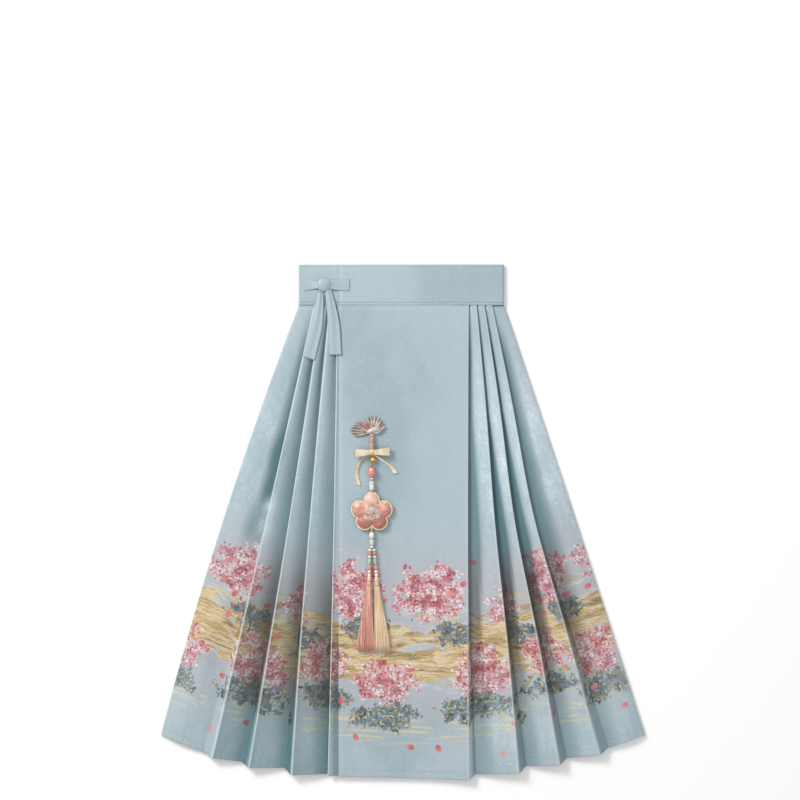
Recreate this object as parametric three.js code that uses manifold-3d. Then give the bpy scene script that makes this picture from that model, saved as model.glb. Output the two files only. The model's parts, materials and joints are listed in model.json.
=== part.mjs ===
// A pleated wrap skirt of the horse-face kind, laid flat on its back, with a beaded tassel pendant on its front.
// Millimetres. +X is the wearer's left, seen from above, +Y runs from hem to waist and +Z is up from the surface.
// The origin is the middle of the skirt's footprint, on the surface that it lies on.
import * as THREE from 'three';
import { mergeVertices } from 'three/addons/utils/BufferGeometryUtils.js';
import Module from 'manifold-3d';

const wasm = await Module();
wasm.setup();

// Driving sizes
const skirtLength = 925;
const bandHeight = 72;
const faceHalfWidth = 116;
const hemHalfWidth = 436;
const clothWall = 1.0;
const layerPitch = 1.4;
const bandWall = 2.0;
const seamGap = 0.3;
const hipShare = 0.235;
const waistTuck = 8;
const turn = layerPitch / 2;

// Heights of the cloth's middle. The back lies in three levels and the front rests on it.
const backLevels = [clothWall / 2, clothWall / 2 + layerPitch, clothWall / 2 + 2 * layerPitch];
const frontBase = backLevels[2] + clothWall + 0.4;
const frontTop = frontBase + 2 * layerPitch;

// Each fold is a ridge that points away from the face, with a tuck behind it.
// waist, hip and hem: how far the ridge stands from the middle. drop: from the band's top edge to the hem, on the
// ridge, and tuckDrop in the tuck. tuckHem: how far the tuck lies under the ridge at the hem, negative where the
// pleat has opened. rise: how far the ridge stands up at the hem, over its pressed height.
const rightFolds = [
  { waist: 118, hip: 117, hem: 118, drop: 925, tuckDrop: 916, tuckHem: -13, rise: 8 },
  { waist: 132, hip: 151, hem: 208, bow: 4, drop: 913, tuckDrop: 901, tuckHem: -14, rise: 11 },
  { waist: 146, hip: 177, hem: 281, bow: 8, drop: 898, tuckDrop: 887, tuckHem: -14, rise: 11 },
  { waist: 160, hip: 201, hem: 353, bow: 10, drop: 880, tuckDrop: 868, tuckHem: -17, rise: 9 },
];
const leftFolds = [
  { waist: 118, hip: 121, hem: 135, drop: 918, tuckDrop: 915, tuckHem: 2, rise: 4 },
  { waist: 132, hip: 151, hem: 200, drop: 916, tuckDrop: 904, tuckHem: -14, rise: 9 },
  { waist: 146, hip: 175, hem: 277, drop: 903, tuckDrop: 893, tuckHem: -13, rise: 9 },
  { waist: 160, hip: 202, hem: 343, drop: 886, tuckDrop: 875, tuckHem: -15, rise: 8 },
];
const backFolds = [
  { waist: 118, hip: 120, hem: 128, drop: 914, tuckDrop: 912, tuckHem: 12 },
  { waist: 135, hip: 155, hem: 205, drop: 903, tuckDrop: 901, tuckHem: 14 },
  { waist: 152, hip: 183, hem: 278, drop: 889, tuckDrop: 887, tuckHem: 14 },
  { waist: 169, hip: 210, hem: 350, drop: 871, tuckDrop: 869, tuckHem: 14 },
];
const rightEdge = { waist: 182, hip: 243, hem: hemHalfWidth, drop: 846, crown: 5 };
const leftEdge = { waist: 188, hip: 255, hem: hemHalfWidth, drop: 846, crown: 6 };
const sideFoldDepth = 4;

// Shares of the way from the band to the hem at which the cloth has a section
const stations = [0, 0.08, 0.18, 0.3, 0.43, 0.56, 0.68, 0.79, 0.9, 1];

const mix = (a, b, share) => a + (b - a) * share;
const clamp = (value, low, high) => Math.min(high, Math.max(low, value));
const smooth = (low, high, value) => {
  const share = clamp((value - low) / (high - low), 0, 1);
  return share * share * (3 - 2 * share);
};

// A smooth curve through the waist, hip and hem figures, drawn in by bow half way down
function through({ waist, hip, hem, bow = 0 }, s) {
  const atWaist = ((s - hipShare) * (s - 1)) / hipShare;
  const atHip = (s * (s - 1)) / (hipShare * (hipShare - 1));
  const atHem = (s * (s - hipShare)) / (1 - hipShare);
  return waist * atWaist + hip * atHip + hem * atHem - bow * Math.exp(-(((s - 0.47) / 0.2) ** 2));
}

const dropAt = (hemDrop, s) => mix(bandHeight + seamGap, hemDrop, s);
const rowY = (drop) => skirtLength / 2 - drop;

// Closed solids from rings of points

function solidGeometry(vertices, triangles) {
  let volume = 0;
  for (const [a, b, c] of triangles) {
    const [p, q, r] = [vertices[a], vertices[b], vertices[c]];
    volume += p[0] * (q[1] * r[2] - q[2] * r[1]) + p[1] * (q[2] * r[0] - q[0] * r[2]) + p[2] * (q[0] * r[1] - q[1] * r[0]);
  }
  const facing = volume < 0 ? triangles.map(([a, b, c]) => [a, c, b]) : triangles;
  const geometry = new THREE.BufferGeometry();
  geometry.setAttribute('position', new THREE.Float32BufferAttribute(vertices.flat(), 3));
  geometry.setIndex(facing.flat());
  return geometry;
}

function ringSolid(rings, capOf) {
  const count = rings[0].length;
  const triangles = [];
  for (let j = 0; j + 1 < rings.length; j++) {
    for (let i = 0; i < count; i++) {
      const [a, b] = [j * count + i, j * count + ((i + 1) % count)];
      triangles.push([a, b, b + count], [a, b + count, a + count]);
    }
  }
  const last = (rings.length - 1) * count;
  for (const [a, b, c] of capOf(count)) {
    triangles.push([a, c, b], [last + a, last + b, last + c]);
  }
  return solidGeometry(rings.flat(), triangles);
}

const fanCap = (count) => Array.from({ length: count - 2 }, (_, i) => [0, i + 1, i + 2]);

// A wall's ring runs out along its upper side and back along its lower one
function stripCap(count) {
  const cap = [];
  for (let i = 0; i + 1 < count / 2; i++) {
    const [a, b, c, d] = [i, i + 1, count - 2 - i, count - 1 - i];
    cap.push([a, b, c], [a, c, d]);
  }
  return cap;
}

// The two sides of a wall round a line of [x, drop, z] points, offset square to the line as seen from the hem
function wallRing(line, wall) {
  const upper = [];
  const lower = [];
  line.forEach(([x, drop, z], i) => {
    const directions = [];
    for (const [from, to] of [[i - 1, i], [i, i + 1]]) {
      if (line[from] && line[to]) {
        const d = [line[to][0] - line[from][0], line[to][2] - line[from][2]];
        const length = Math.hypot(...d);
        directions.push([d[0] / length, d[1] / length]);
      }
    }
    const sum = directions.reduce((a, b) => [a[0] + b[0], a[1] + b[1]]);
    const length = Math.hypot(...sum);
    const [tx, tz] = [sum[0] / length, sum[1] / length];
    const miter = tx * directions[0][0] + tz * directions[0][1];
    const reach = wall / 2 / Math.max(miter, 0.6);
    upper.push([x - tz * reach, rowY(drop), z + tx * reach]);
    lower.push([x + tz * reach, rowY(drop), z - tx * reach]);
  });
  return [...upper, ...lower.reverse()];
}

const wallSolid = (lines, wall) => ringSolid(lines.map((line) => wallRing(line, wall)), stripCap);

// Booleans

function toManifold(geometry) {
  const bare = geometry.clone();
  for (const name of Object.keys(bare.attributes)) {
    if (name !== 'position') bare.deleteAttribute(name);
  }
  const merged = mergeVertices(bare, 1e-4);
  const vertProperties = new Float32Array(merged.attributes.position.array);
  const triVerts = new Uint32Array(merged.index.array);
  return new wasm.Manifold(new wasm.Mesh({ numProp: 3, vertProperties, triVerts }));
}

function joined(geometries) {
  const whole = geometries.map(toManifold).reduce((a, b) => a.add(b)).simplify(0.02);
  const { vertProperties, triVerts } = whole.getMesh();
  const geometry = new THREE.BufferGeometry();
  geometry.setAttribute('position', new THREE.BufferAttribute(new Float32Array(vertProperties), 3));
  geometry.setIndex(new THREE.BufferAttribute(new Uint32Array(triVerts), 1));
  return geometry;
}

// Pleated cloth

function frontFold(fold, s) {
  const ridgeX = through(fold, s);
  const tuck = mix(waistTuck, fold.tuckHem, s ** 1.6);
  const rise = fold.rise * Math.sqrt(s);
  return {
    ridgeX,
    rise,
    tuck,
    valleyX: ridgeX - tuck,
    ridgeZ: frontTop + rise,
    ridgeDrop: dropAt(fold.drop, s),
    valleyDrop: dropAt(fold.tuckDrop, s),
    folded: smooth(-2, 3, tuck),
  };
}

const towards = (from, to, reach) => {
  const [dx, dz] = [to[0] - from[0], to[1] - from[1]];
  const share = reach / Math.hypot(dx, dz);
  return [from[0] + dx * share, from[1] + dz * share];
};

const blended = (open, shut, share) => [mix(open[0], shut[0], share), mix(open[1], shut[1], share)];

// The ridge's three points: over, tip and under. A pressed fold doubles back, and an open one slopes to its valley.
function ridgeTurn(f) {
  const over = [f.ridgeX - turn, f.ridgeZ];
  const tip = [f.ridgeX, f.ridgeZ - turn];
  const open = towards(tip, [f.valleyX, frontBase], 2 * turn);
  const under = blended(open, [f.ridgeX - turn, f.ridgeZ - 2 * turn], f.folded);
  return [over, tip, under].map(([x, z]) => [x, f.ridgeDrop, z]);
}

function valleyTurn(f) {
  const floor = [f.valleyX, frontBase];
  const open = towards(floor, [f.ridgeX, f.ridgeZ - turn], 2 * turn);
  const above = blended(open, [f.valleyX + turn, frontBase + 2 * turn], f.folded);
  const tip = blended(floor, [f.valleyX, frontBase + turn], f.folded);
  const below = blended([f.valleyX + 2 * turn, frontBase], [f.valleyX + turn, frontBase], f.folded);
  return [above, tip, below].map(([x, z]) => [x, f.valleyDrop, z]);
}

// A panel leaves its valley flat, passes under the ridge before it and then climbs to its own ridge
function climb(before, f) {
  const start = [Math.max(before.valleyX, before.ridgeX) + 2, before.valleyDrop, frontBase];
  const shoulder = [f.ridgeX - Math.max(f.tuck, 3) - 1, f.ridgeDrop, f.ridgeZ - 0.12 * f.rise];
  const belly = start.map((value, i) => mix(value, shoulder[i], i === 2 ? 0.62 : 0.5));
  return [start, belly, shoulder];
}

function frontRun(folds, edge, s) {
  const found = folds.map((fold) => frontFold(fold, s));
  const line = [[found[0].valleyX, found[0].valleyDrop, frontBase]];
  for (let k = 1; k < found.length; k++) {
    line.push(...climb(found[k - 1], found[k]), ...ridgeTurn(found[k]), ...valleyTurn(found[k]));
  }
  const last = found.at(-1);
  const start = Math.max(last.valleyX, last.ridgeX) + 2;
  const edgeX = through(edge, s) - clothWall / 2;
  const reach = edgeX - sideFoldDepth - start;
  for (const [across, height] of [[0, 0], [0.3, 0.75], [0.62, 1], [0.86, 0.55]]) {
    const drop = mix(last.valleyDrop, dropAt(edge.drop, s), across);
    line.push([start + reach * across, drop, frontBase + edge.crown * Math.sqrt(s) * height]);
  }
  return line;
}

function sideTurn(edge, s) {
  const edgeX = through(edge, s) - clothWall / 2;
  const upper = frontBase + 0.1 * edge.crown * Math.sqrt(s);
  const [middle, half] = [(upper + backLevels[0]) / 2, (upper - backLevels[0]) / 2];
  return [90, 45, 0, -45, -90].map((degrees) => {
    const angle = THREE.MathUtils.degToRad(degrees);
    return [edgeX - sideFoldDepth * (1 - Math.cos(angle)), dropAt(edge.drop, s), middle + half * Math.sin(angle)];
  });
}

function backFold(fold, s) {
  const ridgeX = through(fold, s);
  return {
    ridgeX,
    valleyX: ridgeX - mix(waistTuck, fold.tuckHem, s),
    ridgeDrop: dropAt(fold.drop, s),
    valleyDrop: dropAt(fold.tuckDrop, s),
  };
}

// From the side in towards the back face, pressed flat: out at the lowest level, back at the middle one
function backRun(folds, s) {
  const [low, middle, high] = backLevels;
  const line = [];
  for (const f of folds.map((fold) => backFold(fold, s)).reverse()) {
    line.push([f.ridgeX + 7.5, f.ridgeDrop, low], [f.ridgeX + 1.5, f.ridgeDrop, high]);
    line.push([f.valleyX + turn, f.valleyDrop, high], [f.valleyX, f.valleyDrop, (high + middle) / 2]);
    line.push([f.valleyX + turn, f.valleyDrop, middle], [f.ridgeX - turn, f.ridgeDrop, middle]);
    line.push([f.ridgeX, f.ridgeDrop, (middle + low) / 2], [f.ridgeX - turn, f.ridgeDrop, low]);
  }
  // The innermost fold belongs to the face, so this cloth ends in its tuck
  return line.slice(0, -5);
}

const mirrored = (line, side) => line.map(([x, drop, z]) => [side * x, drop, z]);

const pleats = (folds, edge, side) =>
  wallSolid(
    stations.map((s) => mirrored([...frontRun(folds, edge, s), ...sideTurn(edge, s), ...backRun(backFolds, s)], side)),
    clothWall,
  );

// Faces: the four plain panels, in two overlapping pairs

const faceFloor = 7.8;
const faceSag = 1.2;
const faceTurnX = 40;

const faceHeight = (x) => (x < -10 ? faceFloor + faceSag * ((x + 10) / (faceHalfWidth - 10)) ** 2 : faceFloor);

const faceTop = (x) => faceHeight(x) + clothWall / 2;

function faceReturn(f) {
  const floor = [f.valleyX, frontBase];
  const open = towards(floor, [f.ridgeX, f.ridgeZ - turn], 0.9);
  const [x, z] = blended(open, [f.valleyX + 0.3, frontBase + 2 * turn], f.folded);
  return [x, f.valleyDrop, z];
}

function frontOuterLine(s) {
  const f = frontFold(rightFolds[0], s);
  const freeDrop = dropAt(919, s);
  const shoulderX = f.ridgeX - Math.max(f.tuck, 3) - 1;
  const dropOver = (x) => mix(freeDrop, f.ridgeDrop, (x + faceHalfWidth) / (f.ridgeX + faceHalfWidth));
  const flat = [-116, -100, -78, -48, -10, faceTurnX].map((x) => [x, dropOver(x), faceHeight(x)]);
  const lifted = [0.38, 0.7, 1].map((share) => {
    const x = mix(faceTurnX, shoulderX, share);
    return [x, dropOver(x), mix(faceFloor, f.ridgeZ - 0.12 * f.rise, share * share)];
  });
  return [...flat, ...lifted, ...ridgeTurn(f), faceReturn(f)];
}

function frontInnerLine(s) {
  const f = frontFold(leftFolds[0], s);
  const farDrop = dropAt(914, s);
  const dropOver = (x) => mix(f.ridgeDrop, farDrop, (f.ridgeX - x) / 220);
  const lip = [faceHalfWidth + 0.2, f.ridgeDrop, faceHeight(-faceHalfWidth) - layerPitch - 0.05];
  const shoulderX = Math.min(Math.max(f.ridgeX - 3, faceHalfWidth + 1.6), f.ridgeX - turn - 0.3);
  const shoulder = [shoulderX, f.ridgeDrop, mix(lip[2], f.ridgeZ, 0.5)];
  const under = [106, 96, 78, 48, 10, -40, -84].map((x) => [x, dropOver(x), faceHeight(-x) - layerPitch - 0.05]);
  return mirrored([...under.reverse(), lip, shoulder, ...ridgeTurn(f), faceReturn(f)], -1);
}

function backLine(freeX, side, inner) {
  return (s) => {
    const f = backFold(backFolds[0], s);
    const [low, middle] = backLevels;
    const dropOver = (x) => mix(911, backFolds[0].drop, (x - freeX) / (f.ridgeX - freeX));
    const across = inner
      ? [[freeX, middle], [-20, middle], [60, middle], [104, middle], [109, low]]
      : [[freeX, low], [-20, low], [60, low]];
    const flat = across.map(([x, z]) => [x, dropAt(dropOver(x), s), z]);
    const ridge = [
      [f.ridgeX - turn, f.ridgeDrop, low],
      [f.ridgeX, f.ridgeDrop, (low + middle) / 2],
      [f.ridgeX - turn, f.ridgeDrop, middle],
      [f.valleyX + 0.3, f.valleyDrop, middle],
    ];
    return mirrored([...flat, ...ridge], side);
  };
}

// Waistband: one doubled strip, wrapped from the front's inner end round the back to the front's outer end

function waistband() {
  const backZ = bandWall / 2;
  const innerZ = frontBase + 0.5;
  const outerZ = innerZ + bandWall + 0.4;
  const round = (edgeX, frontZ, side) => {
    const [middle, half] = [(frontZ + backZ) / 2, (frontZ - backZ) / 2];
    return [90, 60, 30, 0, -30, -60, -90].map((degrees) => {
      const angle = THREE.MathUtils.degToRad(degrees);
      return [side * (edgeX - half * (1 - Math.cos(angle))), middle + half * Math.sin(angle)];
    });
  };
  const right = round(rightEdge.waist - bandWall / 2, outerZ, 1);
  const left = round(leftEdge.waist - bandWall / 2, innerZ, -1).reverse();
  const path = [[-faceHalfWidth, outerZ], [0, outerZ], ...right, [0, backZ], ...left, [0, innerZ], [84, innerZ]];
  const lines = [0, bandHeight / 2, bandHeight].map((drop) => path.map(([x, z]) => [x, drop, z]));
  return { geometry: wallSolid(lines, bandWall), innerTop: innerZ + bandWall / 2, outerTop: outerZ + bandWall / 2 };
}

// Flat ribbons: a path of [x, drop, z] points with a width laid across it in the plane of the cloth

function ribbon(path, width, thick) {
  const rings = path.map(([x, drop, z], i) => {
    const [before, after] = [path[Math.max(i - 1, 0)], path[Math.min(i + 1, path.length - 1)]];
    const [dx, dy] = [after[0] - before[0], before[1] - after[1]];
    const length = Math.hypot(dx, dy);
    const wide = typeof width === 'function' ? width(i / (path.length - 1)) : width;
    const [ax, ay] = [((-dy / length) * wide) / 2, ((dx / length) * wide) / 2];
    const y = rowY(drop);
    return [
      [x - ax, y - ay, z - thick / 2],
      [x + ax, y + ay, z - thick / 2],
      [x + ax, y + ay, z + thick / 2],
      [x - ax, y - ay, z + thick / 2],
    ];
  });
  return ringSolid(rings, fanCap);
}

// A round solid turned on a straight axis from one [x, drop, z] point to another
function turned(profile, sides, from, to) {
  const start = new THREE.Vector3(from[0], rowY(from[1]), from[2]);
  const axis = new THREE.Vector3(to[0], rowY(to[1]), to[2]).sub(start);
  const geometry = new THREE.LatheGeometry(profile.map(([r, along]) => new THREE.Vector2(r, along)), sides);
  geometry.applyQuaternion(new THREE.Quaternion().setFromUnitVectors(new THREE.Vector3(0, 1, 0), axis.normalize()));
  geometry.translate(start.x, start.y, start.z);
  return geometry;
}

// Waist ties: one sewn to the band's outer end and one to its inner part, knotted over the overlap

const tie = { width: 22, wall: 1.2, knotX: -142, knotDrop: 36, tailLength: 118 };

function waistTies(band) {
  const knotZ = band.innerTop + 5.2;
  const outerZ = band.outerTop + 0.3 + tie.wall / 2;
  const innerZ = band.innerTop + 0.3 + tie.wall / 2;
  const knot = new THREE.SphereGeometry(1, 12, 8);
  knot.scale(12, 13, 4.6);
  knot.translate(tie.knotX, rowY(tie.knotDrop), knotZ);
  const outerStrap = ribbon(
    [[-96, tie.knotDrop, outerZ], [-118, tie.knotDrop, outerZ], [-128, tie.knotDrop, knotZ], [-138, tie.knotDrop, knotZ]],
    (share) => mix(tie.width, 14, share),
    tie.wall,
  );
  const innerStrap = ribbon(
    [[-178, tie.knotDrop, innerZ], [-166, tie.knotDrop, innerZ + 0.3], [-156, tie.knotDrop, knotZ - 1.5]],
    (share) => mix(tie.width, 14, share),
    tie.wall,
  );
  // Both tails fall over the band and lie on the pleat ridges below it
  const tail = (startX, lean, startDrop, endZ) => {
    const path = [0, 0.2, 0.45, 0.7, 1].map((share) => [
      startX + lean * share,
      startDrop + tie.tailLength * share,
      mix(knotZ, endZ, Math.min(1, share * 2.2)),
    ]);
    return ribbon(path, (share) => mix(12, tie.width, Math.min(1, share * 2)), tie.wall);
  };
  const lowerTail = tail(-135.5, 16, 44, frontTop + 4.4);
  const upperTail = tail(-149, -18, 50.5, frontTop + 4.4);
  return { outer: joined([knot, outerStrap, lowerTail]), innerStrap, upperTail };
}

// Pendant: hung from a clip on the front face, lying down the face

const pendantX = -56;
const restZ = faceTop(-93) + seamGap;
const axisZ = restZ + 7;

// A round bead as [radius, along] pairs between two points of a thread
function beadProfile(beads, threadRadius) {
  const profile = [[0, 0]];
  let along = 0;
  for (const { radius, length, gap = 0 } of beads) {
    if (gap) {
      profile.push([threadRadius, along], [threadRadius, along + gap]);
      along += gap;
    }
    const squareness = length > 2.2 * radius ? 0.86 : 0.72;
    profile.push([radius * 0.5, along], [radius * squareness, along + length * 0.12], [radius, along + length * 0.35]);
    profile.push([radius, along + length * 0.65], [radius * squareness, along + length * 0.88]);
    profile.push([radius * 0.5, along + length]);
    along += length;
  }
  profile.push([0, along]);
  return { profile, length: along };
}

const upperBeads = [
  { radius: 3, length: 7 },
  { radius: 3, length: 7 },
];
const middleBeads = [
  { radius: 3.4, length: 5 },
  { radius: 7, length: 13, gap: 1.5 },
  { radius: 2.6, length: 4, gap: 1 },
  { radius: 4, length: 15, gap: 1.5 },
  { radius: 2.6, length: 3.5, gap: 0.5 },
];
const lowerBeads = [
  { radius: 1.3, length: 8 },
  { radius: 4.6, length: 12, gap: 0.4 },
  { radius: 4.6, length: 11, gap: 0.6 },
  { radius: 3.4, length: 5, gap: 0.6 },
];
const strandBeads = [
  { radius: 2.6, length: 5 },
  { radius: 3.3, length: 6, gap: 0.5 },
  { radius: 2.9, length: 8, gap: 0.5 },
  { radius: 3.3, length: 6, gap: 0.5 },
  { radius: 2.7, length: 8, gap: 0.5 },
  { radius: 3.3, length: 6, gap: 0.5 },
  { radius: 2.4, length: 4, gap: 0.5 },
];

const beadSides = 8;
const bowDrop = 337;
const sachetDrop = 446;
const sachetRadius = 38.4;
const strandDrop = 510;
const tasselDrop = 561;
const tasselLength = 135;

function beadString(beads, from, to) {
  const { profile, length } = beadProfile(beads, 0.8);
  const reach = Math.hypot(to[0] - from[0], to[1] - from[1], to[2] - from[2]);
  const fitted = profile.map(([radius, along]) => [radius, (along * reach) / length]);
  return turned(fitted, beadSides, from, to);
}

// A bird-like clip: a fan of slim feathers over a rounded body
function clip() {
  const petal = (angleDegrees, long, wide, thick, z) => {
    const geometry = new THREE.SphereGeometry(1, 8, 6);
    geometry.scale(long / 2, wide / 2, thick / 2);
    geometry.translate(long / 2, 0, 0);
    geometry.rotateZ(THREE.MathUtils.degToRad(angleDegrees));
    geometry.translate(-57, rowY(303), z);
    return geometry;
  };
  const clipZ = restZ + 2.4;
  const wing = [32, 58, 80, 102, 124].map((angle, i) => petal(angle, 26 - 1.5 * Math.abs(i - 2), 6, 3.6, clipZ));
  const tail = [154, 172, 190].map((angle, i) => petal(angle, 34 - 3 * i, 6, 3.4, clipZ));
  return joined([petal(20, 26, 13, 4.6, clipZ), petal(200, 12, 12, 4.6, clipZ), ...wing, ...tail]);
}

function bow() {
  const [width, wall, z] = [13, 1, axisZ + 1.4];
  const loop = (side, reach) => {
    const line = [[2, -1.6], [9, -2.6], [24, -3.2], [31, -1.9], [32, 0], [31, 1.9], [24, 3.2], [9, 2.6], [2, 1.6]];
    const across = [-width / 2, width / 2].map((drop) =>
      line.map(([x, up]) => [pendantX + side * reach * x, bowDrop + drop * (0.55 + 0.45 * Math.min(1, x / 20)), z + up]));
    return wallSolid(across, wall);
  };
  const knot = new THREE.SphereGeometry(1, 10, 6);
  knot.scale(4.6, 6, 4.2);
  knot.translate(pendantX, rowY(bowDrop), z);
  const tail = (points) => ribbon(points.map(([x, drop, share]) => [pendantX + x, bowDrop + drop, mix(z, restZ + 0.6, share)]), 6, wall);
  const leftTail = tail([[-1, 2, 0], [-14, 9, 0.3], [-24, 24, 0.8], [-27, 42, 1], [-24, 58, 1]]);
  const rightTail = tail([[1, 2, 0], [14, 12, 0.45], [28, 22, 0.9], [42, 37, 1]]);
  return joined([loop(1, 1), loop(-1, 0.9), knot, leftTail, rightTail]);
}

// The sachet's outline: five lobes, the lower two smaller, with deeper notches beside the top one and below
function sachetRim(angle) {
  const below = Math.max(0, -Math.sin(angle));
  const above = Math.max(0, Math.sin(angle));
  const notch = 0.71 - 0.08 * below ** 8 - 0.28 * above ** 4;
  return sachetRadius * (1 - 0.12 * below ** 1.5) * mix(notch, 1, Math.abs(Math.cos(2.5 * (angle - Math.PI / 2))) ** 0.7);
}

// A padded flower with five lobes, flat underneath
function sachet() {
  const [rim, rows] = [40, 4];
  const halfThick = 8;
  const ring = (share, z) => Array.from({ length: rim }, (_, i) => {
    const angle = (i / rim) * 2 * Math.PI;
    const radius = sachetRim(angle) * share;
    return [pendantX + radius * Math.cos(angle), rowY(sachetDrop) + radius * Math.sin(angle), z];
  });
  const rings = [];
  for (let j = 1; j <= rows; j++) {
    const angle = (j / rows) * (Math.PI / 2);
    rings.push(ring(0.42 + 0.58 * Math.sin(angle), restZ + 6 - 6 * Math.cos(angle) ** 1.3));
  }
  for (let j = rows - 1; j >= 1; j--) {
    const angle = (j / rows) * (Math.PI / 2);
    rings.push(ring(0.3 + 0.7 * Math.sin(angle), restZ + 6 + (2 * halfThick - 6) * Math.cos(angle)));
  }
  return ringSolid(rings, fanCap);
}

// A tassel: a wound head with slim locks fused into it
function tassel(topX, endX, lean, wide) {
  const headZ = restZ + 4.4;
  const head = turned([[0, 0], [2.6, 0], [4, 3], [4.2, 12], [4.6, 15], [0, 15]], 10, [topX, tasselDrop, headZ],
    [topX + lean, tasselDrop + 15, headZ]);
  const locks = [];
  const rows = [
    { count: 12, z: restZ + 1.1, spread: 15, short: 0 },
    { count: 11, z: restZ + 3.9, spread: 13.5, short: 3 },
    { count: 9, z: restZ + 6.6, spread: 10.5, short: 1 },
  ];
  rows.forEach(({ count, z, spread, short }, row) => {
    for (let i = 0; i < count; i++) {
      const across = (i + 0.5) / count * 2 - 1;
      const ragged = ((i * 5 + row * 3) % 4) - 1.5;
      const endDrop = tasselDrop + tasselLength - short - ragged - 4 * across * across;
      const from = [topX + lean * 0.8 + across * 2.6, tasselDrop + 12, headZ + (row - 1) * 2.2];
      const to = [endX + across * spread * wide, endDrop, z];
      const bend = [mix(from[0], to[0], 0.62), mix(from[1], to[1], 0.42), mix(from[2], to[2], 0.75)];
      const rings = [[from, 0.75], [bend, 0.95], [to, 0.8]].map(([[x, drop, height], radius]) =>
        [90, 210, 330].map((degrees) => {
          const angle = THREE.MathUtils.degToRad(degrees);
          return [x + radius * Math.cos(angle), rowY(drop), height + radius * Math.sin(angle)];
        }));
      locks.push(ringSolid(rings, fanCap));
    }
  });
  return joined([head, ...locks]);
}

// Finishes

const finish = (color, roughness, metalness = 0) => new THREE.MeshStandardMaterial({ color, roughness, metalness });
const blueCloth = finish('#a9c4c9', 0.6);
const bandCloth = finish('#b3cbd0', 0.75);
const pinkSatin = finish('#dd9a94', 0.5);
const creamSatin = finish('#eadcbc', 0.5);
const silverThread = finish('#c9c2bd', 0.4, 0.3);
const brassBell = finish('#d9a63c', 0.3, 0.9);
const beadGlaze = finish('#d9b4a0', 0.25);

const skirt = new THREE.Group();

function add(name, geometry, material) {
  const mesh = new THREE.Mesh(geometry, material);
  mesh.name = name;
  skirt.add(mesh);
}

add('pleats_right', pleats(rightFolds, rightEdge, 1), blueCloth);
add('pleats_left', pleats(leftFolds, leftEdge, -1), blueCloth);
add('face_front_outer', wallSolid(stations.map(frontOuterLine), clothWall), blueCloth);
add('face_front_inner', wallSolid(stations.map(frontInnerLine), clothWall), blueCloth);
add('face_back_outer', wallSolid(stations.map(backLine(-100, -1, false)), clothWall), blueCloth);
add('face_back_inner', wallSolid(stations.map(backLine(-84, 1, true)), clothWall), blueCloth);

const band = waistband();
add('waistband', band.geometry, bandCloth);
const ties = waistTies(band);
add('tie_outer', ties.outer, bandCloth);
add('tie_inner', ties.innerStrap, bandCloth);
add('tie_inner_tail', ties.upperTail, bandCloth);

add('pendant_clip', clip(), silverThread);
add('pendant_beads_top', beadString(upperBeads, [pendantX, 309.6, restZ + 3.4], [pendantX, bowDrop - 5.9, axisZ + 1]), beadGlaze);
add('pendant_bow', bow(), creamSatin);
const bell = new THREE.SphereGeometry(5, 12, 8);
bell.translate(pendantX + 1, rowY(bowDrop + 14.6), restZ + 5.2);
add('pendant_bell', bell, brassBell);
add('pendant_beads_middle', beadString(middleBeads, [pendantX, 357, axisZ], [pendantX, sachetDrop - sachetRadius - 0.4, axisZ]), beadGlaze);
add('pendant_sachet', sachet(), pinkSatin);
const lowerTop = sachetDrop + sachetRim(-Math.PI / 2) + 1.6;
add('pendant_beads_lower', beadString(lowerBeads, [pendantX, lowerTop, axisZ - 1], [pendantX, strandDrop - 1, axisZ - 2]), beadGlaze);
const tasselSides = [
  { name: 'pink', material: pinkSatin, strandX: -59.6, topX: -60.6, endX: -67.6, spread: 1.06, lean: -1 },
  { name: 'cream', material: creamSatin, strandX: -52, topX: -48, endX: -36.6, spread: 0.94, lean: 0.6 },
];
for (const { name, material, strandX, topX, endX, spread, lean } of tasselSides) {
  const strand = beadString(strandBeads, [strandX, strandDrop, axisZ - 2], [topX, tasselDrop - 0.4, restZ + 4.6]);
  add(`pendant_strand_${name}`, strand, beadGlaze);
  add(`tassel_${name}`, tassel(topX, endX, lean, spread), material);
}

export default skirt;
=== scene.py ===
# A pale blue horse-face skirt laid flat on its back, with a beaded tassel pendant on its front face.
import json
import math
import random

import bpy
import numpy as np
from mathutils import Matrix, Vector, noise

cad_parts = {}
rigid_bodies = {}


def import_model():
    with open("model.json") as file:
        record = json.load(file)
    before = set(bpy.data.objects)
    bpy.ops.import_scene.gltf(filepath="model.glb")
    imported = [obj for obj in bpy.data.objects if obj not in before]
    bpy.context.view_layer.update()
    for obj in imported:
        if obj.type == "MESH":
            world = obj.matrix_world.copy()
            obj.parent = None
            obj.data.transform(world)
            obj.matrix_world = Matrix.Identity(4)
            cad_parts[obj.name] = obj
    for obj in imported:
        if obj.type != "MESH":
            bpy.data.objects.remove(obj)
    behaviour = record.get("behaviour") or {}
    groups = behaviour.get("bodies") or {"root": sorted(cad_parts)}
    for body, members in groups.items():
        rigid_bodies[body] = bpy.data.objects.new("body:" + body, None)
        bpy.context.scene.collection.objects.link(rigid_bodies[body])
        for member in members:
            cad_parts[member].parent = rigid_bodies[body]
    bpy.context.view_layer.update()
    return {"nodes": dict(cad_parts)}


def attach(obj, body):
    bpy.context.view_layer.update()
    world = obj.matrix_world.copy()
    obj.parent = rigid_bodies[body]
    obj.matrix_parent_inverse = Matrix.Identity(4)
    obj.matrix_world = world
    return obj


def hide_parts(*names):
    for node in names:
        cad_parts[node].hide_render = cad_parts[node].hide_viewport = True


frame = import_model()
mm = 0.001
random.seed(7)
print("frame loaded:", len(frame["nodes"]), "nodes")


def table(names, *rows):
    return [dict(zip(names.split(), row)) for row in rows]


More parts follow.
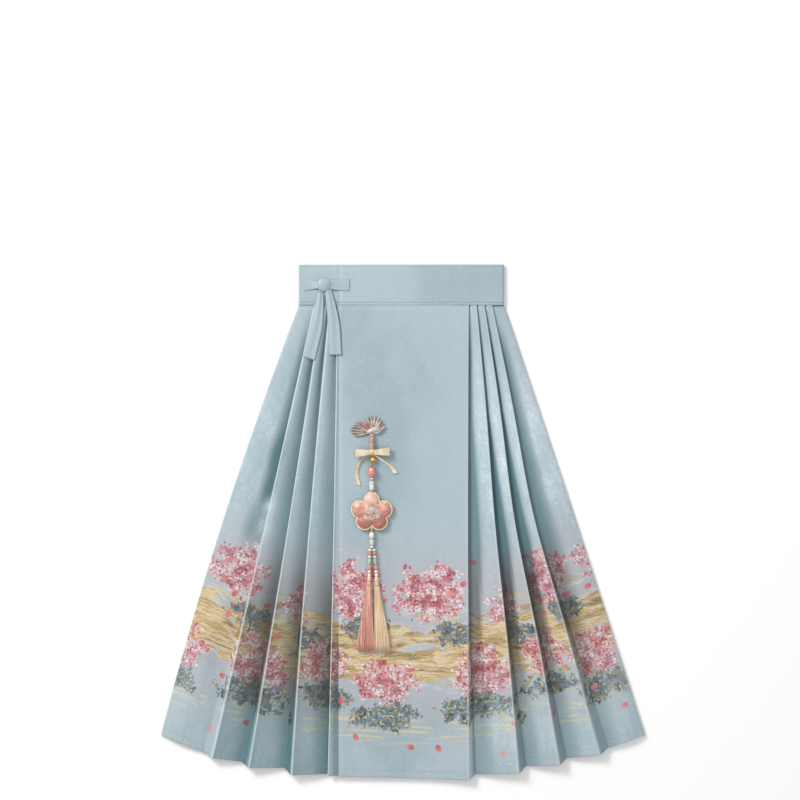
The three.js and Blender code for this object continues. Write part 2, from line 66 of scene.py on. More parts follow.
studio = {
    "camera": (-0.0054, 0.2195, 6.0),
    "lens": 150,
    "key": {"power": 135, "size": 1.5, "place": (-2.35, 2.3, 2.5)},
    "fill": {"power": 48, "size": 4.0, "place": (0.6, -0.5, 4.2)},
    "world": 0.56,
    "worldColour": (1, 0.99, 0.98, 1),
    "floor": (0.9, 0.9, 0.9),
    "floorHalf": 9,
    "floorZ": -0.0006,
}


def addLight(name, power, size, place):
    # an area light that looks at the middle of the skirt
    lamp = bpy.data.lights.new(name, "AREA")
    lamp.energy = power
    lamp.size = size
    obj = bpy.data.objects.new(name, lamp)
    bpy.context.scene.collection.objects.link(obj)
    obj.location = place
    obj.rotation_euler = (-Vector(place)).to_track_quat("-Z", "Y").to_euler()


def buildStudio():
    scene = bpy.context.scene
    for obj in [o for o in bpy.data.objects if o.type in ("LIGHT", "CAMERA") or o.name == "Cube"]:
        bpy.data.objects.remove(obj)
    camera = bpy.data.objects.new("camera", bpy.data.cameras.new("camera"))
    scene.collection.objects.link(camera)
    camera.location = studio["camera"]
    camera.data.lens = studio["lens"]
    camera.data.clip_end = 50
    scene.camera = camera
    scene.view_settings.view_transform = "Standard"
    for name in ("key", "fill"):
        addLight(name, **studio[name])
    world = bpy.data.worlds.new("studio")
    world.use_nodes = True
    background = world.node_tree.nodes["Background"]
    background.inputs[0].default_value = studio["worldColour"]
    background.inputs[1].default_value = studio["world"]
    scene.world = world
    half = studio["floorHalf"]
    corners = [(-half, -half, 0), (half, -half, 0), (half, half, 0), (-half, half, 0)]
    floor = bpy.data.meshes.new("floor")
    floor.from_pydata(corners, [], [(0, 1, 2, 3)])
    floorObj = bpy.data.objects.new("floor", floor)
    floorObj.location.z = studio["floorZ"]
    scene.collection.objects.link(floorObj)
    material, shader = startMaterial("floor")
    connect(shader, colour=(*studio["floor"], 1), roughness=0.9, metallic=0.0)
    floor.materials.append(material)


class Sock:
    # a node's output, with the sums that the shaders need
    tree = None

    def __init__(self, socket):
        self.socket = socket

    @classmethod
    def make(cls, kind, settings=None, inputs=None, out=0):
        node = cls.tree.nodes.new("ShaderNode" + kind)
        for name, value in (settings or {}).items():
            if name == "stops":
                ramp = node.color_ramp
                ramp.elements[0].position, ramp.elements[0].color = value[0]
                ramp.elements[-1].position, ramp.elements[-1].color = value[-1]
                for place, colour in value[1:-1]:
                    ramp.elements.new(place).color = colour
            else:
                setattr(node, name, value)
        for name, value in (inputs or {}).items():
            if isinstance(value, Sock):
                cls.tree.links.new(value.socket, node.inputs[name])
            else:
                node.inputs[name].default_value = value
        return cls(node.outputs[out])

    def output(self, name):
        return Sock(self.socket.node.outputs[name])

    def math(self, operation, *others):
        return Sock.make("Math", {"operation": operation}, dict(enumerate((self, *others))))

    def __add__(self, other):
        return self.math("ADD", other)

    __radd__ = __add__

    def __mul__(self, other):
        return self.math("MULTIPLY", other)

    def __sub__(self, other):
        return self.math("SUBTRACT", other)

    def __rsub__(self, other):
        return Sock.make("Math", {"operation": "SUBTRACT"}, {0: other, 1: self})

    def __truediv__(self, other):
        return self.math("DIVIDE", other)

    def __lt__(self, other):
        return self.math("LESS_THAN", other)

    def __gt__(self, other):
        return self.math("GREATER_THAN", other)


def paint(hexColour):
    parts = [int(hexColour[i : i + 2], 16) / 255 for i in (1, 3, 5)]
    return (*[c / 12.92 if c < 0.04045 else ((c + 0.055) / 1.055) ** 2.4 for c in parts], 1)


def ease(value, low, high):
    settings = {"interpolation_type": "SMOOTHSTEP"}
    return Sock.make("MapRange", settings, {"Value": value, "From Min": low, "From Max": high})


def mixColour(factor, a, b):
    return Sock.make("Mix", {"data_type": "RGBA"}, {0: factor, 6: a, 7: b}, out=2)


def point(x, y, z=0.0):
    return Sock.make("CombineXYZ", None, {"X": x, "Y": y, "Z": z})


def grain(vector, scale, detail=2.0, roughness=0.5):
    inputs = {"Vector": vector, "Scale": scale, "Detail": detail, "Roughness": roughness}
    return Sock.make("TexNoise", {"noise_dimensions": "2D"}, inputs)


def solidGrain(scale, detail):
    # noise in the object's own space, with the scale for each axis in 1 / metres
    place = Sock.make("TexCoord", out="Object")
    where = Sock.make("VectorMath", {"operation": "MULTIPLY"}, {0: place, 1: scale})
    return Sock.make("TexNoise", None, {"Vector": where, "Scale": 1.0, "Detail": detail})


def bumped(height, strength, distance):
    return Sock.make("Bump", None, {"Height": height, "Strength": strength, "Distance": distance})


def ramp(value, places, colours):
    stops = [(place, paint(c)) for place, c in zip(places, colours.split())]
    return Sock.make("ValToRGB", {"stops": stops}, {"Fac": value})


def startMaterial(name):
    material = bpy.data.materials.new(name)
    material.use_nodes = True
    Sock.tree = material.node_tree
    return material, material.node_tree.nodes["Principled BSDF"]


def connect(shader, **links):
    names = {
        "colour": "Base Color",
        "roughness": "Roughness",
        "normal": "Normal",
        "metallic": "Metallic",
        "sheen": "Sheen Weight",
        "sheenRoughness": "Sheen Roughness",
        "coat": "Coat Weight",
        "coatRoughness": "Coat Roughness",
        "specular": "Specular IOR Level",
    }
    for key, value in links.items():
        if isinstance(value, Sock):
            Sock.tree.links.new(value.socket, shader.inputs[names[key]])
        else:
            shader.inputs[names[key]].default_value = value


def threadMaterial(name, places, colours, size, roughness, depth, metallic=0.0, locks=(0.011,) * 3, fade=0):
    # satin and silk: fine streaks and broad locks, which run the way their sizes (in metres) are longest
    material, shader = startMaterial(name)
    streaks = solidGrain(tuple(1 / s for s in size), 3.0)
    broad = solidGrain(tuple(1 / s for s in locks), 2.0)
    tone = (streaks - 0.5) * 0.8 + (broad - 0.5) * 1.1 + 0.5
    # painted light: with fade the satin is painted lighter towards the top and darker towards the bottom
    if fade:
        place = Sock.make("SeparateXYZ", None, {"Vector": Sock.make("TexCoord", out="Object")})
        tone = tone + (place.output("Y") - 0.022) * fade
    connect(shader, colour=ramp(tone, places, colours), roughness=roughness + (streaks - 0.5) * 0.2)
    connect(shader, normal=bumped(streaks, 0.5, depth), metallic=metallic, sheen=0.3)
    return material


def glazeMaterial(name, colours):
    material, shader = startMaterial(name)
    cloud = solidGrain((160,) * 3, 3.0)
    tone = ramp(cloud, (0.3, 0.5, 0.7), colours)
    connect(shader, colour=tone, roughness=0.16 + cloud * 0.12, normal=bumped(cloud, 0.15, 0.0006))
    connect(shader, coat=0.5, coatRoughness=0.08)
    return material


def brassMaterial(name):
    material, shader = startMaterial(name)
    cloud = solidGrain((300,) * 3, 4.0)
    tone = ramp(cloud, (0.3, 0.5, 0.7), "#c08422 #e6ac3c #f4cc6c")
    connect(shader, colour=tone, roughness=0.2 + cloud * 0.2)
    connect(shader, normal=bumped(cloud, 0.12, 0.0004), metallic=0.6)
    return material


cloth = {
    "base": "#9faeb6",
    "shade": "#92a5ad",
    "mist": "#aca6ab",
    # painted light: a pale painted highlight along the ridges, and painted shade for the folds, darker in the
    # printed band
    "crease": "#cbd9da",
    "hollow": "#7aa2a6",
    "printPaintedShade": "#757a76",
    "period": 460,
    "roughness": 0.5,
}

# the print's clumps on the flat cloth, in mm: place across its repeat, height over the hem, half sizes
clumpNames = "u up wide tall"
upperBlossoms = table(clumpNames, (52, 330, 64, 48), (226, 300, 42, 34), (372, 336, 56, 46))
lowerBlossoms = table(clumpNames, (152, 184, 62, 48), (312, 204, 48, 40), (428, 170, 54, 44))
lowLeaves = table(clumpNames, (150, 124, 78, 27), (312, 142, 54, 24), (428, 110, 62, 26), (236, 88, 14, 12))
highLeaves = table(clumpNames, (96, 262, 50, 24), (262, 244, 40, 22), (392, 268, 42, 22))


def clumpField(u, v, clumps, period):
    field = None
    for c in clumps:
        across = ((u - (c["u"] - period / 2)).math("FLOORED_MODULO", period) - period / 2) / c["wide"]
        up = (v - c["up"]) / c["tall"]
        here = 1 - (across * across + up * up)
        field = here if field is None else field.math("MAXIMUM", here)
    return field


def motifCells(u, v, cell, shift):
    where = point(u / cell + shift, v / cell + shift)
    settings = {"voronoi_dimensions": "2D", "feature": "F1"}
    cells = Sock.make("TexVoronoi", settings, {"Vector": where, "Scale": 1.0, "Randomness": 0.9})
    centre = Sock.make("SeparateXYZ", None, {"Vector": cells.output("Position")})
    chance = Sock.make("SeparateColor", None, {"Color": cells.output("Color")})
    x = u / cell + shift - centre
    y = v / cell + shift - centre.output("Y")
    return {
        "x": x,
        "y": y,
        "reach": (x * x + y * y).math("SQRT"),
        "angle": y.math("ARCTAN2", x) + chance * 6.283,
        "u": (centre - shift) * cell,
        "v": (centre.output("Y") - shift) * cell,
        "random": chance.output("Green"),
        "other": chance.output("Blue"),
    }


def ragged(u, v, clumps, growth):
    # how far inside a clump a place is, with an uneven edge
    wild = grain(point(u * 0.029, v * 0.033), 1.0, 3.0, 0.7) - 0.5
    return clumpField(u, v, clumps, cloth["period"]) + wild * 3.6 + growth


def dabLayer(colour, u, v, clumps, cell, shift, growth, long, wide, tones, strength=0.92):
    # short brush dabs, one to a cell, each turned its own way; neighbours share a tone
    c = motifCells(u, v, cell, shift)
    field = ragged(c["u"], c["v"], clumps, growth)
    along = c["reach"] * c["angle"].math("COSINE") / long
    across = c["reach"] * c["angle"].math("SINE") / wide
    mask = ease(along * along + across * across, 1.15, 0.7) * (field > 0)
    region = grain(point(c["u"] * 0.05 + 5.3, c["v"] * 0.055), 1.0, 2.0)
    tone = c["random"] * 0.5 + (region - 0.5) * 1.9 + 0.25
    return mixColour(mask * strength, colour, ramp(tone, *tones))


def twigLayer(colour, u, v, field, tone):
    # thin broken twigs under the petals
    lines = grain(point(u * 0.03 + 11.2, v * 0.045), 1.0, 2.0, 0.4) - 0.5
    broken = grain(point(u * 0.09, v * 0.09), 1.0, 1.0)
    mask = ease(lines.math("ABSOLUTE"), 0.016, 0.004) * ease(field, 0.1, 0.4) * ease(broken, 0.44, 0.52)
    return mixColour(mask * 0.75, colour, paint(tone))


def blossomLayers(colour, u, v, clumps):
    # flowering crowns: a soft uneven mass first, then petals from pale to deep
    field = ragged(u, v, clumps, -0.12)
    mass = grain(point(u * 0.05 + 5.3, v * 0.055), 1.0, 2.0)
    under = ramp(mass, (0.32, 0.43, 0.54, 0.62, 0.74), "#8f4650 #ab6a72 #b2979d #bcb0b5 #a86b72")
    colour = mixColour(ease(field, 0.0, 0.5) * 0.8, colour, under)
    mid = (0.0, 0.3, 0.55, 0.8, 1.0), "#93404a #ae5f67 #bf8389 #c6a3a6 #c8b8bb"
    pale = (0.0, 0.25, 0.45, 0.65, 1.0), "#a54a54 #bd6f76 #cb9ca1 #dac4c7 #e3dadb"
    deep = (0.0, 0.5, 1.0), "#782632 #963643 #b0606a"
    colour = dabLayer(colour, u, v, clumps, 9.0, 5.1, -0.02, 0.5, 0.36, mid)
    colour = twigLayer(colour, u, v, field, "#5c4644")
    colour = dabLayer(colour, u, v, clumps, 6.0, 9.3, 0.05, 0.42, 0.3, pale)
    return dabLayer(colour, u, v, clumps, 9.0, 3.9, -0.12, 0.22, 0.15, deep)


def leafLayers(colour, u, v, clumps):
    # dense sprays of leaves: slate shadow between them, then blue, teal, ochre and cream blades
    field = ragged(u, v, clumps, -0.1)
    mass = grain(point(u * 0.08 + 2.1, v * 0.08), 1.0, 2.0)
    under = ramp(mass, (0.33, 0.47, 0.58, 0.68), "#2c343c #3f5059 #4e646c #766b49")
    colour = mixColour(ease(field, 0.0, 0.4) * 0.85, colour, under)
    blues = (0.0, 0.2, 0.42, 0.55, 0.64, 0.75, 1.0), "#26333f #35536a #446f86 #6e94a2 #7c8294 #867f60 #363c44"
    warm = (0.0, 0.2, 0.42, 0.6, 0.76, 1.0), "#5e5136 #8f7a49 #b3a06b #c8bc94 #45637a #875443"
    colour = dabLayer(colour, u, v, clumps, 10.5, 2.2, -0.02, 0.52, 0.24, blues)
    colour = dabLayer(colour, u, v, clumps, 8.0, 8.4, 0.12, 0.52, 0.19, warm)
    return dabLayer(colour, u, v, clumps, 6.2, 6.6, 0.0, 0.42, 0.2, blues, 0.85)


def bankLayer(colour, u, v):
    # low banks of gold cloud, brushed on in level strokes, with pale grey mist among them
    bend = grain(point(u * 0.013, v * 0.018), 1.0, 2.0) - 0.5
    level = v + bend * 34
    shape = grain(point(u * 0.0115 + 3.1, level * 0.041), 1.0, 4.0, 0.6)
    rise = ease(v, 134, 196) * ease(v, 338, 240)
    islets = grain(point(u * 0.034 + 6.1, level * 0.12), 1.0, 3.0, 0.6) - 0.5
    bank = shape + islets * 0.42 + rise * 0.4 - 0.73 - (1 - rise) * 0.16
    brush = grain(point(u * 0.016 + 1.3, level * 0.15), 1.0, 4.0, 0.7)
    haze = grain(point(u * 0.015 + 9.4, level * 0.06), 1.0, 3.0, 0.6)
    tone = brush + (haze - 0.5) * 0.35
    places = (0.28, 0.36, 0.44, 0.52, 0.6, 0.68, 0.76)
    gold = ramp(tone, places, "#65563c #8c764c #ad925f #c6ab79 #d4c196 #bdbab0 #a08b60")
    colour = mixColour(ease(bank, -0.14, -0.02) * ease(haze, 0.42, 0.56) * 0.75, colour, paint("#b6bdc4"))
    colour = mixColour(ease(bank, 0.0, 0.05) * 0.92, colour, gold)
    strokes = ease((brush - 0.5).math("ABSOLUTE"), 0.014, 0.003) * ease(haze, 0.44, 0.54)
    return mixColour(strokes * ease(bank, -0.06, 0.02) * 0.45, colour, paint("#5d5644"))


def cloudLayer(colour, u, v):
    # small scalloped clouds on the banks: each a low dome with a dark outline and cream lines inside
    c = motifCells(u, v * 2.1, 47, 7.7)
    wobble = grain(point(u * 0.05, v * 0.05), 1.0, 2.0) - 0.5
    inside = 0.3 - c["x"] * c["x"] * 1.7 + wobble * 0.3 - c["y"]
    place = ease(c["v"], 310, 400) * ease(c["v"], 700, 600) * (c["random"] > 0.4) * ease(c["y"], -0.45, -0.12)
    lines = (inside * 30 + wobble * 5).math("SINE") * 0.2 + c["other"] * 0.5 + 0.2
    tone = ramp(lines, (0.15, 0.4, 0.6, 0.75, 0.9), "#7b6843 #a98f5c #c8ae7c #d3c39b #b7bcbf")
    colour = mixColour(place * ease(inside, 0.0, 0.03) * 0.85, colour, tone)
    edge = ease(inside.math("ABSOLUTE"), 0.03, 0.01) * ease(wobble, -0.12, 0.05)
    return mixColour(place * edge * 0.7, colour, paint("#5f5440"))


def rippleLayer(colour, u, v):
    # cream strokes of still water, below the flowers and between the two rows of them
    streak = grain(point(u * 0.013 + 7.7, v * 0.2), 1.0, 3.0, 0.55)
    patch = grain(point(u * 0.009 + 2.7, v * 0.02), 1.0, 1.0)
    near = ease(v, 52, 74) * ease(v, 122, 98)
    far = ease(v, 172, 186) * ease(v, 226, 208) * 0.8
    mask = ease(streak, 0.53, 0.6) * ease(patch, 0.44, 0.54) * (near + far)
    return mixColour(mask * 0.7, colour, paint("#c8bd97"))


def loosePetals(colour, u, v):
    # single petals adrift over the print, each 15 by 10 mm
    cell, long, wide = 74, 7.4, 4.9
    c = motifCells(u, v, cell, 4.3)
    along = c["reach"] * c["angle"].math("COSINE") * cell / long
    across = c["reach"] * c["angle"].math("SINE") * cell / wide
    shown = (c["other"] > 0.5) * (c["v"] < 395) * (c["v"] > 34)
    mask = ease(along * along + across * across, 1.15, 0.8) * shown
    tip = ramp(c["random"], (0.0, 0.6, 1.0), "#b8474c #cb6568 #cf8383")
    return mixColour(mask * 0.9, colour, mixColour(ease(along, -0.4, 1.2) * 0.5, tip, paint("#d9a29d")))


def printLayers(colour, u, v):
    # the printed border, from the far banks to the loose petals, with edges wobbled as dye runs in cloth
    wobble = grain(point(u * 0.16, v * 0.16), 1.0, 2.0)
    pu = u + (wobble - 0.5) * 5
    pv = v + (wobble.output("Color") * 1.0 - 0.5) * 5
    mist = ease(v, 0, 230) * ease(v, 460, 330)
    colour = mixColour(mist * 0.6, colour, paint(cloth["mist"]))
    colour = bankLayer(colour, pu, pv)
    colour = cloudLayer(colour, pu, pv)
    colour = rippleLayer(colour, pu, pv)
    colour = leafLayers(colour, pu, pv, highLeaves)
    colour = blossomLayers(colour, pu, pv, upperBlossoms + lowerBlossoms)
    colour = leafLayers(colour, pu, pv, lowLeaves)
    return loosePetals(colour, u, v)


# reads one of the painted light values on the points
def paintedLightAttribute(name):
    return Sock.make("Attribute", {"attribute_name": name}, None, out="Fac")


def printedCloth(name, stitches, printed=True):
    # stitches are the heights of the stitch lines over the hem, in millimetres
    material, shader = startMaterial(name)
    place = Sock.make("SeparateXYZ", None, {"Vector": Sock.make("UVMap", {"uv_map": "cloth"})})
    u, v = place * 1000, place.output("Y") * 1000
    mottle = grain(point(u * 0.007, v * 0.004), 1.0, 3.0, 0.5)
    colour = mixColour(ease(mottle, 0.36, 0.64), paint(cloth["base"]), paint(cloth["shade"]))
    wrinkles = grain(point(u * 0.11, v * 0.05), 1.0, 4.0, 0.65)
    # a woven leaf figure, tone on tone
    c = motifCells(u, v, 34, 1.7)
    ring = ((c["reach"] * 16 + (c["angle"] * 4).math("COSINE") * 1.6).math("SINE") + 1) / 2
    figure = ease(ring, 0.45, 0.7) * ease(c["reach"], 0.5, 0.42)
    colour = mixColour(figure * 0.06, colour, paint("#c3d3d6"))
    roughness = cloth["roughness"] - figure * 0.1 + (mottle - 0.5) * 0.12
    # painted shade for the folds, darker in the printed band
    shadow = paint(cloth["hollow"])
    if printed:
        colour = printLayers(colour, u, v)
        shadow = mixColour(ease(v, 60, 150) * ease(v, 410, 330), shadow, paint(cloth["printPaintedShade"]))
    # painted light on the points: painted shade deepens the cloth in the folds, a painted sheen and a painted
    # highlight along the ridges lighten it
    multiply = {"data_type": "RGBA", "blend_type": "MULTIPLY"}
    deep = Sock.make("Mix", multiply, {0: 1.0, 6: colour, 7: shadow}, out=2)
    # painted sheen on the raised part of the panels, stronger over the woven figure and the wrinkles
    sheen = paintedLightAttribute("gleam") * (0.46 + figure * 0.2 + ease(wrinkles, 0.42, 0.66) * 0.4)
    colour = mixColour(paintedLightAttribute("hollow"), mixColour(sheen, colour, paint("#cfe0e6")), deep)
    # painted highlight along each ridge
    colour = mixColour(paintedLightAttribute("crease") * 0.75, colour, paint(cloth["crease"]))
    # stitch lines, in short dashes
    line = None
    for height in stitches:
        here = ease((v - height).math("ABSOLUTE"), 0.9, 0.4)
        line = here if line is None else line.math("MAXIMUM", here)
    dash = ease((u * 1.8).math("SINE"), -0.6, -0.2)
    colour = mixColour(line * dash * 0.5, colour, paint("#7f999f"))
    # the weave, soft dimples over the whole and short puckers at the hem
    weave = (u * 5.2 + v * 5.2).math("SINE") * 0.06 + grain(point(u * 0.35, v * 0.35), 1.0, 4.0, 0.7) * 0.45
    puckers = grain(point(u * 0.1, v * 0.012), 1.0, 2.0) * ease(v, 75, 8)
    dimples = grain(point(u * 0.045, v * 0.03), 1.0, 3.0, 0.6)
    bump = bumped(weave - line * 0.7 + dimples * 1.5 + puckers * 2.4, 0.4, 0.0011)
    satin = {"sheen": 0.12, "sheenRoughness": 0.4, "specular": 0.55}
    connect(shader, colour=colour, roughness=roughness, normal=bump, **satin)
    return material


def addMesh(name, verts, faces, material):
    mesh = bpy.data.meshes.new(name)
    mesh.from_pydata([tuple(v) for v in verts], [], faces)
    mesh.materials.append(material)
    mesh.polygons.foreach_set("use_smooth", [True] * len(mesh.polygons))
    obj = bpy.data.objects.new(name, mesh)
    bpy.context.scene.collection.objects.link(obj)
    return obj


def dress(obj, node):
    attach(obj, "root")
    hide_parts(node)


def gridFaces(rows, cols, closed=False):
    faces = []
    for j in range(rows - 1):
        for i in range(cols if closed else cols - 1):
            a, b = j * cols + i, j * cols + (i + 1) % cols
            faces.append((a, b, b + cols, a + cols))
    return faces


def clothShell(name, grid, u, v, paintedLightValues, material, thick):
    # grid is rows x columns of points in millimetres as x, drop below the band's top edge, z
    rows, cols = grid.shape[:2]
    points = grid.reshape(-1, 3) * mm
    points[:, 1] = skirt["length"] * mm / 2 - points[:, 1]
    obj = addMesh(name, points, gridFaces(rows, cols), material)
    mesh = obj.data
    layer = mesh.uv_layers.new(name="cloth")
    loops = np.zeros(len(mesh.loops), int)
    mesh.loops.foreach_get("vertex_index", loops)
    flat = np.stack([u.ravel(), v.ravel()], 1)[loops] * mm
    layer.data.foreach_set("uv", flat.ravel())
    # the painted light values go on the points as attributes
    for key, values in paintedLightValues.items():
        mesh.attributes.new(key, "FLOAT", "POINT").data.foreach_set("value", values.ravel())
    shell = obj.modifiers.new("shell", "SOLIDIFY")
    shell.thickness = thick * mm
    shell.offset = 0
    return obj


skirt = {
    "length": 925,
    "band": 72.3,
    "faceHalf": 116,
    "cloth": 0.9,
    "pitch": 1.4,
    "hipShare": 0.235,
    "waistTuck": 8,
    "sideDepth": 4,
}
turn = skirt["pitch"] / 2
low, middle, high = [0.5 + skirt["pitch"] * k for k in range(3)]
frontBase = high + 1.4
frontTop = frontBase + 2 * skirt["pitch"]

# each ridge from the middle outwards: half widths at waist, hip and hem, bow, drops, tuck and rise at the hem
foldNames = "waist hip hem bow drop tuckDrop tuckHem rise"
rightFolds = table(
    foldNames,
    (118, 117, 118, 0, 925, 916, -13, 8),
    (132, 151, 208, 4, 913, 901, -14, 11),
    (146, 177, 281, 8, 898, 887, -14, 11),
    (160, 201, 353, 10, 880, 868, -17, 9),
)
leftFolds = table(
    foldNames,
    (118, 121, 135, 0, 918, 915, 2, 4),
    (132, 151, 200, 0, 916, 904, -14, 9),
    (146, 175, 277, 0, 903, 893, -13, 9),
    (160, 202, 343, 0, 886, 875, -15, 8),
)
backFolds = table(
    foldNames,
    (118, 120, 128, 0, 914, 912, 12, 0),
    (135, 155, 205, 0, 903, 901, 14, 0),
    (152, 183, 278, 0, 889, 887, 14, 0),
    (169, 210, 350, 0, 871, 869, 14, 0),
)
# the painted shade beyond each ridge: how wide at hip, middle and hem, how soft and how deep in tone above
# and at the hem, how bright its panel's painted sheen is, the painted shade over the whole panel low down,
# the station where it ends
paintedShadeNames = "hip middle hem soft hemSoft depth hemDepth shine shade until"
rightPaintedShades = table(
    paintedShadeNames,
    (10, 25, 42, 0.25, 1.0, 0.78, 0.5, 1.0, 0.05, 2),
    (5, 23, 36, 0.25, 1.1, 1.0, 0.55, 1.0, 0.05, 2),
    (6, 22, 35, 0.3, 1.1, 1.0, 0.55, 1.0, 0.05, 2),
    (15, 30, 30, 1.1, 1.4, 0.85, 0.55, 0.9, 0.05, 2),
)
leftPaintedShades = table(
    paintedShadeNames,
    (14, 26, 18, 1.8, 1.8, 0.5, 0.95, 0.5, 0.46, 2),
    (14, 22, 20, 1.6, 1.6, 0.6, 1.0, 0.5, 0.52, 2),
    (14, 24, 20, 1.6, 1.6, 0.65, 1.0, 0.5, 0.54, 2),
    (10, 24, 18, 1.4, 1.6, 0.75, 0.7, 0.6, 0.05, 0.5),
)
# painted shade and painted sheen for soft dents beside the left's last ridge, which lean with it: place, half
# size, and how much painted shade and painted sheen each adds
leftDentShades = table(
    "x drop wide tall hollow gleam",
    (226, 338, 14, 34, 0.5, -0.3),
    (241, 400, 10, 22, 0.2, -0.3),
    (242, 432, 10, 12, -0.75, 0.5),
    (254, 468, 10, 30, -0.6, 0.45),
    (263, 493, 6, 9, 0.4, -0.3),
    (276, 470, 9, 42, 0.3, -0.4),
)
rightEdge = {"waist": 182, "hip": 243, "hem": 436, "bow": 0, "drop": 846, "crown": 5}
leftEdge = {"waist": 188, "hip": 255, "hem": 436, "bow": 0, "drop": 846, "crown": 6}
stations = np.concatenate([np.linspace(0, 0.978, 84), [0.983, 0.9862, 0.988, 0.992, 0.996, 0.9988, 1.0]])
softCreases = table(
    "fromX fromDrop toX toDrop wide high",
    (-240, 352, -276, 500, 6, 3.0),
    (-262, 400, -254, 452, 9, 2.4),
    (-274, 520, -352, 770, 13, -1.6),
    (-300, 560, -386, 800, 15, 1.6),
    (-20, 90, 70, 215, 26, 0.8),
    (40, 300, 96, 520, 22, 0.7),
    (-96, 560, -60, 860, 24, 0.6),
    (20, 640, 52, 905, 20, 0.8),
    (262, 360, 338, 640, 14, 1.3),
    (300, 600, 398, 850, 16, -1.6),
    (330, 700, 372, 872, 9, 1.9),
    (232, 760, 262, 905, 11, 1.6),
    (150, 640, 176, 900, 12, 1.3),
)


def mix(a, b, share):
    return a + (b - a) * share


def smooth(lowEnd, highEnd, value):
    share = min(1, max(0, (value - lowEnd) / (highEnd - lowEnd)))
    return share * share * (3 - 2 * share)


def through(row, s):
    hip = skirt["hipShare"]
    atWaist = (s - hip) * (s - 1) / hip
    atHip = s * (s - 1) / (hip * (hip - 1))
    atHem = s * (s - hip) / (1 - hip)
    drawn = row["bow"] * math.exp(-(((s - 0.47) / 0.2) ** 2))
    return row["waist"] * atWaist + row["hip"] * atHip + row["hem"] * atHem - drawn


def dropAt(hemDrop, s):
    return mix(skirt["band"], hemDrop, s)


def frontFold(row, s):
    ridge = through(row, s)
    tuck = mix(skirt["waistTuck"], row["tuckHem"], s**1.6)
    rise = row["rise"] * math.sqrt(s)
    return {
        "ridge": ridge,
        "tuck": tuck,
        "rise": rise,
        "valley": ridge - tuck,
        "z": frontTop + rise,
        "drop": dropAt(row["drop"], s),
        "valleyDrop": dropAt(row["tuckDrop"], s),
        "folded": smooth(-2, 3, tuck),
    }


def towards(start, end, reach):
    dx, dz = end[0] - start[0], end[1] - start[1]
    share = reach / math.hypot(dx, dz)
    return start[0] + dx * share, start[1] + dz * share


def blended(loose, shut, share):
    return mix(loose[0], shut[0], share), mix(loose[1], shut[1], share)


def ridgeTurn(f):
    tip = (f["ridge"], f["z"] - turn)
    loose = towards(tip, (f["valley"], frontBase), 2 * turn)
    under = blended(loose, (f["ridge"] - turn, f["z"] - 2 * turn), f["folded"])
    over = (f["ridge"] - turn, f["z"])
    marks = ("", "ridge", "")
    return [(x, f["drop"], z, mark) for (x, z), mark in zip((over, tip, under), marks)]


def valleyTurn(f):
    floor = (f["valley"], frontBase)
    loose = towards(floor, (f["ridge"], f["z"] - turn), 2 * turn)
    above = blended(loose, (f["valley"] + turn, frontBase + 2 * turn), f["folded"])
    tip = blended(floor, (f["valley"], frontBase + turn), f["folded"])
    below = blended((f["valley"] + 2 * turn, frontBase), (f["valley"] + turn, frontBase), f["folded"])
    marks = ("", "valley", "")
    return [(x, f["valleyDrop"], z, mark) for (x, z), mark in zip((above, tip, below), marks)]


def climb(before, f):
    start = (max(before["valley"], before["ridge"]) + 2, before["valleyDrop"], frontBase)
    shoulder = (f["ridge"] - max(f["tuck"], 3) - 1, f["drop"], f["z"] - 0.12 * f["rise"])
    belly = [mix(a, b, share) for a, b, share in zip(start, shoulder, (0.5, 0.5, 0.62))]
    return [(*start, ""), (*belly, ""), (*shoulder, "")]


def pleatLine(rows, edge, s):
    found = [frontFold(row, s) for row in rows]
    line = [(found[0]["valley"], found[0]["valleyDrop"], frontBase, "")]
    for before, f in zip(found, found[1:]):
        line += climb(before, f) + ridgeTurn(f) + valleyTurn(f)
    last = found[-1]
    start = max(last["valley"], last["ridge"]) + 2
    edgeX = through(edge, s) - 0.5
    crown = edge["crown"] * math.sqrt(s)
    reach = edgeX - skirt["sideDepth"] - start
    for across, height in ((0, 0), (0.3, 0.75), (0.62, 1), (0.86, 0.55)):
        drop = mix(last["valleyDrop"], dropAt(edge["drop"], s), across)
        line.append((start + reach * across, drop, frontBase + crown * height, ""))
    upper = frontBase + 0.1 * crown
    centre, half = (upper + low) / 2, (upper - low) / 2
    for degrees in (90, 45, 0, -45, -90):
        a = math.radians(degrees)
        x = edgeX - skirt["sideDepth"] * (1 - math.cos(a))
        line.append((x, dropAt(edge["drop"], s), centre + half * math.sin(a), "" if degrees else "side"))
    for row in reversed(backFolds):
        ridge, valley = through(row, s), through(row, s) - mix(skirt["waistTuck"], row["tuckHem"], s)
        drop, tuckDrop = dropAt(row["drop"], s), dropAt(row["tuckDrop"], s)
        line += [
            (ridge + 7.5, drop, low, ""),
            (ridge + 1.5, drop, high, ""),
            (valley + turn, tuckDrop, high, ""),
            (valley, tuckDrop, (high + middle) / 2, "valley"),
            (valley + turn, tuckDrop, middle, ""),
            (ridge - turn, drop, middle, ""),
            (ridge, drop, (middle + low) / 2, "ridge"),
            (ridge - turn, drop, low, ""),
        ]
    return line[:-5]


def faceHeight(x):
    return 7.8 + (1.2 * ((x + 10) / 106) ** 2 if x < -10 else 0)


def faceReturn(f):
    loose = towards((f["valley"], frontBase), (f["ridge"], f["z"] - turn), 0.9)
    x, z = blended(loose, (f["valley"] + 0.3, frontBase + 2 * turn), f["folded"])
    return (x, f["valleyDrop"], z, "")


